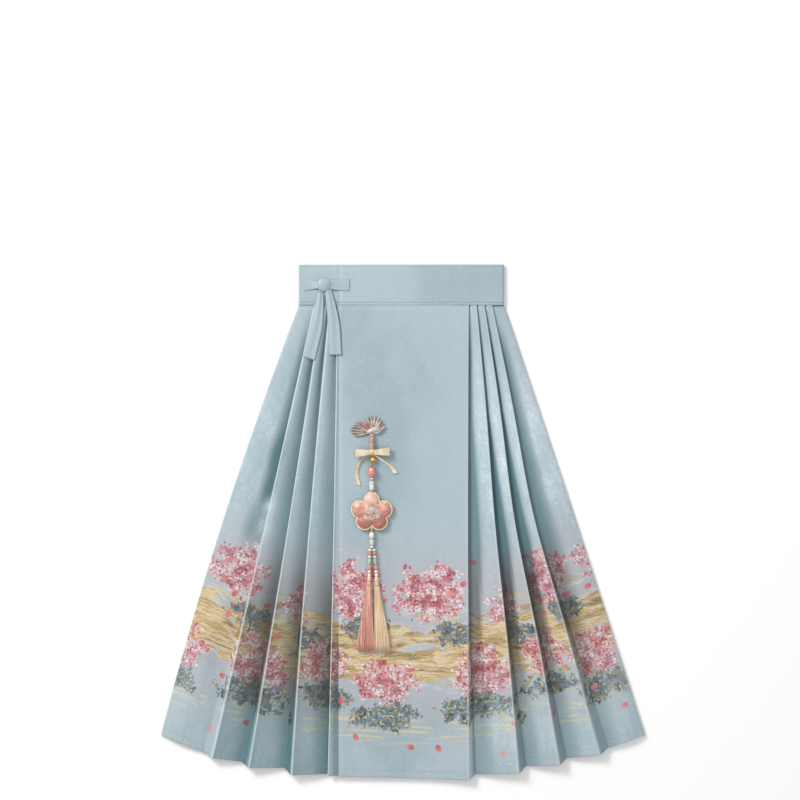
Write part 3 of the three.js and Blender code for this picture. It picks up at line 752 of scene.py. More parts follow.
def outerFaceLine(s):
    f = frontFold(rightFolds[0], s)
    free, half = dropAt(919, s), skirt["faceHalf"]
    shoulder = f["ridge"] - max(f["tuck"], 3) - 1

    def drop(x):
        return mix(free, f["drop"], (x + half) / (f["ridge"] + half))

    line = [(x, drop(x), faceHeight(x), "") for x in (-116, -100, -78, -48, -10, 40)]
    for share in (0.38, 0.7, 1):
        x = mix(40, shoulder, share)
        line.append((x, drop(x), mix(7.8, f["z"] - 0.12 * f["rise"], share * share), ""))
    return line + ridgeTurn(f) + [faceReturn(f)]


def innerFaceLine(s):
    f = frontFold(leftFolds[0], s)
    half = skirt["faceHalf"]

    def drop(x):
        return mix(f["drop"], dropAt(914, s), (f["ridge"] - x) / 220)

    under = [(x, drop(x), faceHeight(-x) - 1.45, "") for x in (-84, -40, 10, 48, 78, 96, 106)]
    lip = (half + 0.2, f["drop"], faceHeight(-half) - 1.45, "")
    shoulderX = min(max(f["ridge"] - 3, half + 1.6), f["ridge"] - turn - 0.3)
    shoulder = (shoulderX, f["drop"], mix(lip[2], f["z"], 0.5), "")
    return under + [lip, shoulder] + ridgeTurn(f) + [faceReturn(f)]


def backFaceLine(free, inner, s):
    row = backFolds[0]
    ridge, valley = through(row, s), through(row, s) - mix(skirt["waistTuck"], row["tuckHem"], s)
    across = ((free, middle), (-20, middle), (60, middle), (104, middle), (109, low)) if inner else (
        (free, low), (-20, low), (60, low))
    line = [(x, dropAt(mix(911, row["drop"], (x - free) / (ridge - free)), s), z, "") for x, z in across]
    drop = dropAt(row["drop"], s)
    return line + [
        (ridge - turn, drop, low, ""),
        (ridge, drop, (low + middle) / 2, "ridge"),
        (ridge - turn, drop, middle, ""),
        (valley + 0.3, dropAt(row["tuckDrop"], s), middle, ""),
    ]


def refine(lines, spacing, most):
    # rounds every station's line with a centripetal curve through its points, the same count in each
    control = np.array([[p[:3] for p in line] for line in lines])
    marks = [p[3] for p in lines[0]]
    count = control.shape[1]
    lengths = np.linalg.norm(np.diff(control, axis=1), axis=2).max(0)
    columns, newMarks = [], []
    for i in range(count - 1):
        p1, p2 = control[:, i], control[:, i + 1]
        p0 = control[:, i - 1] if i else 2 * p1 - p2
        p3 = control[:, i + 2] if i + 2 < count else 2 * p2 - p1
        steps = int(min(most, max(2, round(lengths[i] / spacing))))
        d1, d2, d3 = [
            np.maximum(np.linalg.norm(b - a, axis=1, keepdims=True), 1e-4) ** 0.5
            for a, b in ((p0, p1), (p1, p2), (p2, p3))
        ]
        m1 = (p2 - p1) / d2 - (p2 - p0) / (d1 + d2) + (p1 - p0) / d1
        m2 = (p2 - p1) / d2 - (p3 - p1) / (d2 + d3) + (p3 - p2) / d3
        m1, m2 = m1 * d2, m2 * d2
        for k in range(steps):
            t = k / steps
            columns.append(
                (2 * t**3 - 3 * t**2 + 1) * p1 + (t**3 - 2 * t**2 + t) * m1
                + (3 * t**2 - 2 * t**3) * p2 + (t**3 - t**2) * m2
            )
            newMarks.append(marks[i] if k == 0 else "")
    columns.append(control[:, -1])
    newMarks.append(marks[-1])
    return np.stack(columns, 1), newMarks


def settle(x, drop, z):
    # how far the cloth lifts here, in soft ripples and listed creases; the layers below lift with it
    lift = 0.9 + 0.55 * noise.noise((x / 95, drop / 150, 0.3)) + 0.3 * noise.noise((x / 34, drop / 70, 4.2))
    for c in softCreases:
        x0, d0 = c["fromX"], c["fromDrop"]
        dx, dd = c["toX"] - x0, c["toDrop"] - d0
        share = ((x - x0) * dx + (drop - d0) * dd) / (dx * dx + dd * dd)
        if -0.2 < share < 1.2:
            off = abs((x - x0) * dd - (drop - d0) * dx) / math.hypot(dx, dd)
            ends = smooth(-0.2, 0.25, share) * smooth(1.2, 0.75, share)
            lift += c["high"] * ends * math.exp(-((off / c["wide"]) ** 2))
    lift *= smooth(72, 120, drop) * min(1, max(0, (z - high) / 1.4))
    return max(0, lift)


def foldPaintedLight(grid, marks, foldRows, shadeRows, base, dentShades):
    # painted shade on the cloth beyond each ridge, and a painted sheen of the satin on the raised part of a
    # panel
    hollow, gleam = np.zeros(grid.shape[:2]), np.zeros(grid.shape[:2])
    for j, s in enumerate(stations):
        found = [frontFold(row, s) for row in foldRows]
        fade, late, lower = smooth(0, 0.12, s), smooth(0.66, 0.92, s), smooth(0.5, 0.7, s)
        glow = math.exp(-(((s - 0.33) / 0.2) ** 2)) + 0.5 * math.exp(-(((s - 0.92) / 0.09) ** 2))
        passed = 0
        for i, mark in enumerate(marks):
            if mark == "side":
                break
            off = grid[j, i, 0] - found[passed]["ridge"]
            shade = shadeRows[passed]
            steps = (shade["hip"] * 0.7, shade["hip"], shade["middle"], shade["middle"], shade["hem"])
            wide = float(np.interp(s, (0, 0.235, 0.52, 0.75, 1), steps))
            soft = mix(shade["soft"], shade["hemSoft"], late)
            depth = mix(shade["depth"], shade["hemDepth"], late)
            reach = smooth(wide * (1 + soft / 2), wide * (1 - soft / 2) - 2, off)
            depth = mix(depth, max(depth, shade["hemDepth"]), lower)
            depth *= smooth(shade["until"] + 0.05, shade["until"], s)
            # painted shade over the whole panel low down; base paints the left's panels a little darker
            # everywhere
            panelShade = mix(base, shade["shade"], lower)
            hollow[j, i] = panelShade + (1 - panelShade) * depth * reach * fade
            # painted sheen on the panel past its painted shade
            lit = smooth(wide, wide + 9, off) * glow * shade["shine"]
            gleam[j, i] = lit * (0.65 + 0.45 * noise.noise((grid[j, i, 0] / 30, s * 9, 3.3)))
            # painted shade and painted sheen of the soft dents
            for d in dentShades:
                down = grid[j, i, 1] - d["drop"]
                across = (grid[j, i, 0] - d["x"] - 0.24 * down) / d["wide"]
                near = math.exp(-(across**2) - (down / d["tall"]) ** 2)
                hollow[j, i] += d["hollow"] * near
                gleam[j, i] += d["gleam"] * near
            if mark == "ridge":
                passed += 1
    return hollow.clip(0, 1), gleam.clip(0, 1)


def stripPaintedShade(grid, marks):
    # painted shade: the strip of the inner face that shows is painted darker low down, in the outer one's
    # shade beside its free edge
    hollow = np.zeros(grid.shape[:2])
    for j, s in enumerate(stations):
        for i, x in enumerate(grid[j, :, 0]):
            hollow[j, i] = 0.75 * smooth(132, 123, x) * smooth(104, 114, x) * smooth(0.6, 0.74, s)
    return hollow, hollow * 0


def flatAcross(marks, arc):
    # the flat cloth's width at each point, anchored at the ridges so that the print runs down each panel
    ridges = [i for i, m in enumerate(marks) if m in ("ridge", "side")]
    valleys = [i for i, m in enumerate(marks) if m == "valley"]
    if not ridges:
        return arc
    u = np.zeros(arc.shape)
    for i in range(arc.shape[1]):
        before = sum(valley < i for valley in valleys)
        anchor = ridges[min(before, len(ridges) - 1)]
        u[:, i] = arc[-1, anchor] + arc[:, i] - arc[:, anchor]
    return u


def paintedRidgeHighlight(marks, arc, wide=1.5):
    # a painted highlight: a pale line along each pressed fold
    crease = np.zeros(arc.shape)
    for i, mark in enumerate(marks):
        if mark in ("ridge", "side"):
            crease = np.maximum(crease, np.exp(-((np.abs(arc - arc[:, i : i + 1])) / wide) ** 2))
    return crease


def finishCloth(name, node, lines, side, startU, material, tint):
    thick = skirt["cloth"]
    grid, marks = refine(lines, 7, 8)
    rows, cols = grid.shape[:2]
    steps = np.linalg.norm(np.diff(grid, axis=1), axis=2)
    arc = np.concatenate([np.zeros((rows, 1)), np.cumsum(steps, 1)], 1)
    u = side * (startU + flatAcross(marks, arc))
    along = np.linalg.norm(np.diff(grid, axis=0), axis=2)
    v = np.concatenate([np.cumsum(along[::-1], 0)[::-1], np.zeros((1, cols))], 0)
    crease = paintedRidgeHighlight(marks, arc)
    # painted shade and painted sheen come from the piece's painted light function; without one, none
    hollow, gleam = tint(grid, marks) if tint else (crease * 0, crease * 0)
    grid[:, :, 0] *= side
    for j in range(rows):
        for i in range(cols):
            x, drop, z = grid[j, i]
            grid[j, i, 2] = max(thick / 2, z + settle(x, drop, z))
    paintedLightValues = {"crease": crease, "hollow": hollow, "gleam": gleam}
    obj = clothShell(name, grid, u, v, paintedLightValues, material, thick)
    dress(obj, node)


def pleats(folds, edge):
    return lambda s: pleatLine(folds, edge, s)


def backFace(free, inner):
    return lambda s: backFaceLine(free, inner, s)


def pleatPaintedLight(*rows):
    return lambda grid, marks: foldPaintedLight(grid, marks, *rows)


# each cloth piece: node, side, where its print starts, its line across at a station, its painted light
clothPieces = table(
    "node side start line tint",
    ("pleats_right", 1, 131, pleats(rightFolds, rightEdge), pleatPaintedLight(rightFolds, rightPaintedShades, 0, [])),
    ("pleats_left", -1, 135, pleats(leftFolds, leftEdge), pleatPaintedLight(leftFolds, leftPaintedShades, 0.12, leftDentShades)),
    ("face_front_outer", 1, -116, outerFaceLine, None),
    ("face_front_inner", -1, -84, innerFaceLine, stripPaintedShade),
    ("face_back_outer", -1, 900, backFace(-100, False), None),
    ("face_back_inner", 1, 900, backFace(-84, True), None),
)


def buildCloth():
    blue = printedCloth("printed_cloth", [12])
    for p in clothPieces:
        lines = [p["line"](s) for s in stations]
        finishCloth(p["node"] + "_cloth", p["node"], lines, p["side"], p["start"], blue, p["tint"])


def rowPlace(x, drop, z):
    return Vector((x, skirt["length"] / 2 - drop, z)) * mm


def assemble(name, parts, node, slotName, shell=0):
    # parts is a list of points, faces and material
    verts, faces, slots, materials = [], [], [], []
    for points, partFaces, material in parts:
        if material not in materials:
            materials.append(material)
        base = len(verts)
        verts += list(points)
        faces += [tuple(base + i for i in face) for face in partFaces]
        slots += [materials.index(material)] * len(partFaces)
    obj = addMesh(name, verts, faces, materials[0])
    for material in materials[1:]:
        obj.data.materials.append(material)
    obj.data.polygons.foreach_set("material_index", slots)
    if shell:
        solid = obj.modifiers.new("shell", "SOLIDIFY")
        solid.thickness = shell * mm
        solid.offset = 0
    dress(obj, node)
    return obj


def tube(path, radii, sides, material, capped=True):
    # path is in metres; radii in millimetres, one or one for each point
    if not hasattr(radii, "__len__"):
        radii = [radii] * len(path)
    points = []
    for i, (here, radius) in enumerate(zip(path, radii)):
        ahead = path[min(i + 1, len(path) - 1)] - path[max(i - 1, 0)]
        axis = ahead.normalized()
        side = axis.cross(Vector((0, 0, 1)))
        side = side.normalized() if side.length > 1e-4 else Vector((1, 0, 0))
        up = side.cross(axis)
        for k in range(sides):
            a = 2 * math.pi * k / sides
            points.append(here + (side * math.cos(a) + up * math.sin(a)) * radius * mm)
    faces = gridFaces(len(path), sides, closed=True)
    if capped:
        faces.append(tuple(range(sides))[::-1])
        faces.append(tuple(range((len(path) - 1) * sides, len(path) * sides)))
    return points, faces, material


def turned(profile, start, end, sides, material):
    # profile is radius and share of the way from start to end
    path = [start.lerp(end, share) for radius, share in profile]
    return tube(path, [max(radius, 0.02) for radius, share in profile], sides, material)


def beadProfile(radius, square, steps=9):
    # a bead's outline, rounder with a low square and straighter with a high one
    rows = []
    for i in range(steps + 1):
        a = math.pi * i / steps
        along = 0.5 - 0.5 * math.cos(a)
        rows.append((radius * max(0.0, 1 - abs(2 * along - 1) ** square) ** (1 / square), along))
    return rows


def threaded(start, end, beads, finishes, threadRadius=0.7):
    parts = [tube([start, end], threadRadius, 6, finishes["thread"])]
    total = sum(b["long"] + b["gap"] for b in beads)
    reach = 0
    for b in beads:
        reach += b["gap"]
        first, last = start.lerp(end, reach / total), start.lerp(end, (reach + b["long"]) / total)
        parts.append(turned(beadProfile(b["wide"], b["square"]), first, last, 20, finishes[b["finish"]]))
        reach += b["long"]
    return parts


def ribbonStrip(path, wide, material, acrossSteps=6, ripple=0.0, fork=0.0):
    # a flat ribbon along path, x, drop and z in millimetres, with soft lengthwise ripples
    points, rows = [], len(path)
    for j, (x, drop, z) in enumerate(path):
        before, after = path[max(j - 1, 0)], path[min(j + 1, rows - 1)]
        dx, dy = after[0] - before[0], before[1] - after[1]
        size = math.hypot(dx, dy) or 1
        share = j / (rows - 1)
        width = wide(share) if callable(wide) else wide
        for i in range(acrossSteps + 1):
            q = i / acrossSteps * 2 - 1
            lift = ripple * (1 - share * 0.6) * math.cos(q * 4.4 + share * 2)
            slip = fork * max(0, share - 0.9) * 10 * q
            off = q * width / 2
            px = x - dy / size * off + dx / size * slip
            py = drop - (dx / size * off + dy / size * slip)
            points.append(rowPlace(px, py, z + lift))
    return points, gridFaces(rows, acrossSteps + 1), material


def curvePath(points, steps):
    # a smooth curve through points of x, drop and z
    out = []
    for i in range(len(points) - 1):
        p0 = points[max(i - 1, 0)]
        p1, p2 = points[i], points[i + 1]
        p3 = points[min(i + 2, len(points) - 1)]
        for k in range(steps):
            t = k / steps
            place = []
            for a, b, c, d in zip(p0, p1, p2, p3):
                curve = (2 * a - 5 * b + 4 * c - d) * t * t + (3 * b - a - 3 * c + d) * t**3
                place.append(0.5 * (2 * b + (c - a) * t + curve))
            out.append(tuple(place))
    return out + [tuple(points[-1])]


# drops are from the band's top edge; rest is the face's height under the pendant, axis its string's
pendant = {
    "x": -56,
    "rest": 10.0,
    "axis": 16.7,
    "bowDrop": 337,
    "middle": (357.2, 408.4),
    "sachetDrop": 446,
    "sachetRadius": 37,
    "lower": (468.5, 509),
    "strands": (510, 560.2),
}
topCord = {"from": 305, "to": 332, "radius": 2.1, "orbit": 1.9, "turns": 2.6, "steps": 56}
beadNames = "long wide finish square gap"
middleBeads = table(
    beadNames,
    (4.5, 3.2, "rust", 2.2, 0),
    (1.5, 1.2, "thread", 2.2, 0),
    (17, 6.9, "rose", 2.5, 0),
    (3.2, 3.0, "pearl", 2.2, 0.4),
    (2.2, 1.2, "thread", 2.2, 0),
    (15.5, 4.5, "celadon", 4.5, 0),
    (2.6, 3.1, "gold", 2.2, 0.3),
)
lowerBeads = table(
    beadNames,
    (7.5, 1.3, "creamThread", 2.2, 0),
    (2.4, 3.0, "gold", 2.2, 0.2),
    (12.4, 4.7, "pearl", 2.6, 0.2),
    (10.4, 4.3, "celadon", 3.0, 0.3),
    (4.4, 3.4, "pearl", 2.2, 0.2),
)
strandBeads = table(
    beadNames,
    (4.6, 3.0, "pearl", 2.2, 0),
    (6.0, 3.3, "rose", 2.2, 0.3),
    (4.4, 3.1, "pearl", 2.2, 0.2),
    (10.4, 3.1, "jade", 3.2, 0.2),
    (8.2, 3.4, "rose", 2.6, 0.2),
    (5.6, 3.3, "pearl", 2.2, 0.2),
    (5.2, 3.0, "pearl", 2.2, 0.2),
)


# thread grain in metres along x, y and z: spun, wound round, woven across a ribbon, combed down a tassel
spun, wound = (0.0007, 0.0007, 0.0007), (0.002, 0.0006, 0.002)
ribbon, combed = (0.006, 0.0005, 0.002), (0.0011, 0.03, 0.0011)
fine = (0.0009, 0.0009, 0.0009)
combedLocks = {"locks": (0.0034, 0.16, 0.0034)}
two, three, four = (0.2, 0.8), (0.2, 0.5, 0.85), (0.15, 0.42, 0.65, 0.9)
threads = table(
    "finish settings more",
    ("thread", ("rose_thread", two, "#b8776b #dca79b", wound, 0.6, 0.0003), {}),
    ("creamThread", ("cream_thread", two, "#cdbb94 #efe3c6", wound, 0.6, 0.0003), {}),
    ("pearlThread", ("pearl_thread", two, "#b9aca0 #e6ded3", spun, 0.45, 0.0003), {}),
    ("tanThread", ("tan_thread", two, "#b39273 #d9c2a6", wound, 0.6, 0.0003), {}),
    ("satin", ("cream_satin", three, "#b8a483 #cdbea1 #e6dcc8", ribbon, 0.36, 0.00012), {}),
    ("goldSatin", ("gold_satin", three, "#c39a5c #d9b67e #ecd8ac", ribbon, 0.34, 0.00012), {}),
    # the sachet's satin gets painted light: lighter towards its top, darker towards its bottom
    ("pinkSatin", ("pink_satin", three, "#ad6a5c #c58a7c #e0b9ab", fine, 0.36, 0.00018), {"fade": 13}),
    ("silver", ("silver_thread", three, "#776f69 #b3aaa1 #e3ddd4", spun, 0.4, 0.0004), {"metallic": 0.25}),
    ("umber", ("umber_thread", (0.2, 0.85), "#4f4543 #857a74", spun, 0.5, 0.0004), {}),
    ("rust", ("rust_thread", three, "#6d4440 #9a6a62 #c09a90", spun, 0.5, 0.0004), {}),
    ("pinkSilk", ("pink_silk", four, "#b0695a #ca8b79 #dcaa97 #f2d8ca", combed, 0.38, 0.0002), combedLocks),
    ("creamSilk", ("cream_silk", four, "#bf9b76 #d8ba96 #e8d0b1 #f7ead6", combed, 0.38, 0.0002), combedLocks),
)
glazes = {
    "rose": "#b86a60 #cf877b #e3aea2",
    "pearl": "#cfc2a6 #e2d8c2 #efe9dc",
    "celadon": "#a9b8ab #c9d1c2 #e2e2d4",
    "jade": "#7f9c93 #9db3a8 #c0cbbd",
}


def pendantFinishes():
    finishes = {t["finish"]: threadMaterial(*t["settings"], **t["more"]) for t in threads}
    finishes.update({key: glazeMaterial(key + "_glaze", colours) for key, colours in glazes.items()})
    finishes["gold"] = brassMaterial("gold_beads")
    return finishes


# the brooch's two fans of feathers: how many, first angle and step, length and its fall, width and bend
fans = table(
    "count angle step long peak fall power wide bend bendStep colours",
    (12, 30, 7.4, 32, 5, 0.5, 1, 2.9, 14, 0, ("silver", "umber", "silver", "rust")),
    (10, 146, 6.4, 42, 4, 0.35, 2, 2.7, 20, -4.4, ("silver", "rust", "silver", "umber")),
)
# its broad feathers: tail, breast, wing and neck
broadFeathers = table(
    "angle long wide bend up lift finish",
    (128, 37, 6.5, 52, 1.0, 1.6, "rust"),
    (14, 29, 12, 24, 0.9, 1.8, "silver"),
    (24, 24, 4, 18, 2.0, 1.4, "umber"),
    (4, 20, 5, 30, 0.7, 1.2, "rust"),
)
brooch = {
    "root": (-56.0, 300.5),
    "body": ((-66, 302, 1.2), (-40, 293, 1.6)),
    "radius": 5.4,
    "coil": {"x": -56, "drop": 299, "up": 4.6, "wide": 8, "tall": 4, "angle": 12.4, "steps": 60},
}


def feather(angle, long, wide, bend, z, material, lift=1.2):
    points, rows, cols = [], 12, 5
    x, y = brooch["root"]
    a = math.radians(angle)
    for j in range(rows):
        t = j / (rows - 1)
        half = wide / 2 * (math.sin(math.pi * min(1, t * 0.93 + 0.07) ** 0.8) ** 0.8 + 0.05)
        for i in range(cols):
            q = i / (cols - 1) * 2 - 1
            px, py = x - math.sin(a) * q * half, y - math.cos(a) * q * half
            points.append(rowPlace(px, py, z + lift * math.sin(t * 2.4) + 0.7 * (1 - q * q)))
        x += math.cos(a) * long / rows
        y -= math.sin(a) * long / rows
        a += math.radians(bend) / rows
    return points, gridFaces(rows, cols), material


def buildClip(f):
    # a bird-like brooch of silver thread: a fan of feathers, a long tail and a small round body
    z = pendant["rest"] + 1.2
    parts = []
    for fan in fans:
        for i in range(fan["count"]):
            long = fan["long"] - fan["fall"] * abs(i - fan["peak"]) ** fan["power"]
            angle, bend = fan["angle"] + fan["step"] * i, fan["bend"] + fan["bendStep"] * i
            parts.append(feather(angle, long, fan["wide"], bend, z + 0.3 * (i % 3), f[fan["colours"][i % 4]]))
    for b in broadFeathers:
        shape = b["angle"], b["long"], b["wide"], b["bend"]
        parts.append(feather(*shape, z + b["up"], f[b["finish"]], b["lift"]))
    assemble("brooch", parts, "pendant_clip", "silver_thread", shell=0.7)
    start, end = [rowPlace(x, drop, z + up) for x, drop, up in brooch["body"]]
    body = turned(beadProfile(brooch["radius"], 2.2), start, end, 20, f["silver"])
    coil, path = brooch["coil"], []
    for a in np.linspace(0, coil["angle"], coil["steps"]):
        shrink = 1 - a / 40
        x = coil["x"] + coil["wide"] * math.cos(a) * shrink
        drop = coil["drop"] - coil["tall"] * math.sin(a) * shrink
        path.append(rowPlace(x, drop, z + coil["up"] + 0.5 * math.cos(a * 2)))
    assemble("brooch_body", [body, tube(path, 0.45, 6, f["creamThread"])], "pendant_clip", "silver_thread")


def buildTopCord(f):
    # a two-ply twisted cord from the brooch to the bow
    parts = []
    orbit = topCord["orbit"]
    for ply, finish in ((0, f["thread"]), (math.pi, f["tanThread"])):
        path = []
        for i in range(topCord["steps"] + 1):
            s = i / topCord["steps"]
            a = ply + s * topCord["turns"] * 2 * math.pi
            z = mix(pendant["rest"] + 4.4, pendant["axis"] + 0.6, s)
            drop = mix(topCord["from"], topCord["to"], s)
            path.append(rowPlace(pendant["x"] + orbit * math.cos(a), drop, z + orbit * math.sin(a)))
        parts.append(tube(path, topCord["radius"], 8, finish))
    assemble("twisted_cord", parts, "pendant_beads_top", "bead_glaze")


# the bow: its loop's outline out from the knot, and its ends as x, drop and share of the way to the face
bow = {
    "loop": [
        (1, -1.5), (9, -2.8), (24, -3.2), (31, -1.8), (32.5, 0.2), (31, 2), (23, 3.3), (9, 2.9), (1, 1.6)
    ],
    "left": [(-1, 1, 0), (-14, 7, 0.2), (-22, 17, 0.55), (-26.5, 31, 0.9), (-26.5, 45, 1), (-24, 59, 1)],
    "right": [(1, 2, 0), (10, 8, 0.15), (20, 15, 0.5), (30, 22, 0.85), (37, 29, 1), (43, 38, 1)],
    "loopCols": 9,
    "knotSize": (4.7, 5.9, 4.3),
}


def lump(x0, drop0, z0, size, rows, cols, fold, material):
    # a closed lump, with a half size on each axis and folds that run from pole to pole
    wide, tall, deep = size
    points = []
    for j in range(rows + 1):
        a = math.pi * j / rows
        for i in range(cols):
            b = 2 * math.pi * i / cols
            r = math.sin(a) * fold(a, b)
            x, z = wide * r * math.cos(b), deep * r * math.sin(b)
            points.append(rowPlace(x0 + x, drop0 + tall * math.cos(a), z0 + z))
    return points, gridFaces(rows + 1, cols, closed=True), material


def buildBow(f):
    x0, drop, z = pendant["x"], pendant["bowDrop"], pendant["axis"] + 1.4
    parts = []
    cols = bow["loopCols"]
    for side, reach in ((-1, 0.9), (1, 1)):
        loop = curvePath(bow["loop"], 5)
        points = []
        for x, up in loop:
            share = min(1, x / 26)
            for i in range(cols):
                q = i / (cols - 1) * 2 - 1
                half = mix(3.4, 7.3, share**0.8)
                pinch = (1 - share) * 1.1 * math.cos(q * 9)
                lean = -side * 0.05 * x + 0.25 * abs(q) * share
                out = side * reach * (x + 0.5 * abs(q))
                points.append(rowPlace(x0 + out, drop + lean + q * half, z + up + pinch))
        parts.append((points, gridFaces(len(loop), cols), f["satin"]))
    for key, ripple in (("left", 0.7), ("right", -0.6)):
        path = []
        for x, down, share in curvePath(bow[key], 5):
            path.append((x0 + x, drop + down, mix(z - 0.6, pendant["rest"] + 0.9, share)))
        parts.append(ribbonStrip(path, lambda s: 2.4 + 5.6 * s**1.6, f["satin"], 6, ripple, 2.2))
    assemble("satin_bow", parts, "pendant_bow", "cream_satin", shell=0.5)

    def fold(a, b):
        return 1 + 0.07 * math.cos(4 * b) * math.sin(a)

    knot = lump(x0, drop, z, bow["knotSize"], 12, 24, fold, f["goldSatin"])
    assemble("bow_knot", [knot], "pendant_bow", "cream_satin")


bell = {"x": 2.4, "drop": 13.6, "up": 5.5, "radius": 5.4, "loop": 1.3, "slotHalf": 3.4, "slotDrop": 3.0}


def buildBell(f):
    radius, loop = bell["radius"], bell["loop"]
    x0, drop, z = pendant["x"] + bell["x"], pendant["bowDrop"] + bell["drop"], pendant["rest"] + bell["up"]
    rows = []
    for i in range(29):
        a = math.pi * i / 28
        rim = 0.28 * math.exp(-(((a - math.pi / 2) / 0.09) ** 2))
        rows.append((radius * math.sin(a) + rim, 0.5 - 0.5 * math.cos(a)))
    ball = turned(rows, rowPlace(x0, drop - radius, z), rowPlace(x0, drop + radius, z), 32, f["gold"])
    ring = []
    for a in np.linspace(0, 2 * math.pi, 17):
        ring.append(rowPlace(x0 + loop * math.cos(a), drop - radius - 0.3 - loop * math.sin(a), z))
    slot = []
    for q in np.linspace(-1, 1, 13):
        height = math.sqrt(max(0, 29.5 - bell["slotDrop"] ** 2 - 11.6 * q * q))
        slot.append(rowPlace(x0 + bell["slotHalf"] * q, drop + bell["slotDrop"], z + height))
    # a dark thread along the ball stands in for the bell's slot: painted shade where its inside would show
    slotShade = threadMaterial("bell_slot_shade", two, "#2b1c0a #4a3414", (0.001,) * 3, 0.7, 0.0001)
    parts = [ball, tube(ring, 0.4, 8, f["gold"], False), tube(slot, 0.42, 6, slotShade)]
    assemble("small_bell", parts, "pendant_bell", "bell_brass")


def sachetOutline(angle):
    below = max(0, -math.sin(angle))
    above = max(0, math.sin(angle))
    notch = 0.71 - 0.08 * below**8 - 0.28 * above**4
    lobe = mix(notch, 1, abs(math.cos(2.5 * (angle - math.pi / 2))) ** 0.7)
    return pendant["sachetRadius"] * (1 - 0.12 * below**1.5) * lobe


def sachetSeam():
    angles = np.linspace(0, 2 * math.pi, 361)[:-1]
    return np.array([(sachetOutline(a) * math.cos(a), sachetOutline(a) * math.sin(a)) for a in angles])


seam = sachetSeam()


def sachetTop(x, y):
    # height of the stuffed top over its seam: full in the middle, rounding down to the edge, puckered there
    angle, reach = math.atan2(y, x), math.hypot(x, y)
    inside = float(np.sqrt(((seam - (x, y)) ** 2).sum(1).min())) if reach < sachetOutline(angle) else 0
    puff = (1 - math.exp(-inside / 5.2)) * (1 + 0.14 * (1 - (reach / 37) ** 2))
    pucker = math.sin(angle * 33 + 2 * math.sin(angle * 5)) * math.exp(-inside / 4.5) * min(1, inside / 1.5)
    return 8.1 * puff + 0.4 * pucker + 0.5 * noise.noise((x / 9, y / 9, 1.7))


# the sachet: points round its rim, rings over and under it, rim height, depth below, edge cord and twist
sachet = {
    "rim": 140,
    "rings": 22,
    "under": 8,
    "up": 5.6,
    "deep": 5.4,
    "cord": {"out": 0.3, "up": 0.5, "radius": 1.45, "steps": 160},
    "twist": {"orbit": 1.25, "radius": 0.5, "turns": 58, "steps": 480},
    "offsets": (0, 1.7),
}
# its scrolls and short strokes of silver thread, laid over the puffed top
scrolls = table(
    "x y from to start turns way",
    (-6.5, 3.0, 6.4, 0.9, -0.6, 1.5, 1),
    (7.0, 4.2, 5.6, 0.9, 3.6, 1.4, -1),
    (1.5, -5.6, 6.8, 1.0, 1.2, 1.6, 1),
    (-10.5, -6.5, 4.0, 0.8, 0.4, 1.2, -1),
    (11.5, -4.5, 3.8, 0.8, 2.4, 1.2, 1),
    (-1.0, 11.0, 3.8, 0.8, 4.2, 1.3, 1),
)
strokes = table("x y bend", (-15, -1, 5), (14, 1, -5), (-5, -13, 4), (6, -12, -4), (0, 5, 5))


def onSachet(x, y, z):
    return rowPlace(pendant["x"] + x, pendant["sachetDrop"] - y, pendant["rest"] + sachet["up"] + z)


def sachetRing(share, height):
    # a ring of points, a share of the way out to the outline, at a height that depends on the place
    found = []
    for i in range(sachet["rim"]):
        a = 2 * math.pi * i / sachet["rim"]
        r = sachetOutline(a) * share
        x, y = r * math.cos(a), r * math.sin(a)
        found.append(onSachet(x, y, height(x, y)))
    return found


def edgePath(steps, orbit=0, turns=0, ply=0):
    # once round the edge; with an orbit, wound round the edge cord
    cord = sachet["cord"]
    found = []
    for i in range(steps + 1):
        a = 2 * math.pi * i / steps
        b = a * turns + ply
        r = sachetOutline(a) + cord["out"] + orbit * math.cos(b)
        found.append(onSachet(r * math.cos(a), r * math.sin(a), cord["up"] + orbit * math.sin(b)))
    return found


def buildSachet(f):
    rim, rings, under = sachet["rim"], sachet["rings"], sachet["under"]
    points = []
    for j in range(rings + 1):
        share = (1 - (1 - j / rings) ** 1.6) * 0.985
        points += sachetRing(share, sachetTop)
    for j in range(1, under + 1):
        t = j / under * math.pi / 2
        points += sachetRing(0.34 + 0.645 * math.cos(t), lambda x, y: -sachet["deep"] * math.sin(t))
    last = rings + under
    faces = gridFaces(last + 1, rim, closed=True)
    faces.append(tuple(range(last * rim, (last + 1) * rim)))
    cord, twist = sachet["cord"], sachet["twist"]
    edge = tube(edgePath(cord["steps"]), cord["radius"], 10, f["satin"], False)
    parts = [(points, faces, f["pinkSatin"]), edge]
    for c in scrolls:
        for offset in sachet["offsets"]:
            path = []
            for i in range(41):
                s = i / 40
                a = c["start"] + c["way"] * s * c["turns"] * 2 * math.pi
                r = mix(c["from"], c["to"], s**0.8) + offset * (1 - s)
                x, y = c["x"] + r * math.cos(a), c["y"] + r * math.sin(a)
                path.append(onSachet(x, y, sachetTop(x, y) + 0.35))
            parts.append(tube(path, 0.8, 6, f["silver" if offset else "pearlThread"]))
    for c in strokes:
        path, radii = [], []
        for i in range(13):
            s = i / 12
            x, y = c["x"] + (s - 0.5) * 9, c["y"] + c["bend"] * math.sin(s * math.pi) * 0.5
            path.append(onSachet(x, y, sachetTop(x, y) + 0.3))
            radii.append(0.25 + 0.4 * math.sin(math.pi * s))
        parts.append(tube(path, radii, 6, f["silver"]))
    for ply in (0, math.pi):
        path = edgePath(twist["steps"], twist["orbit"], twist["turns"], ply)
        parts.append(tube(path, twist["radius"], 5, f["creamThread"], False))
    body = assemble("sachet", parts, "pendant_sachet", "pink_satin")


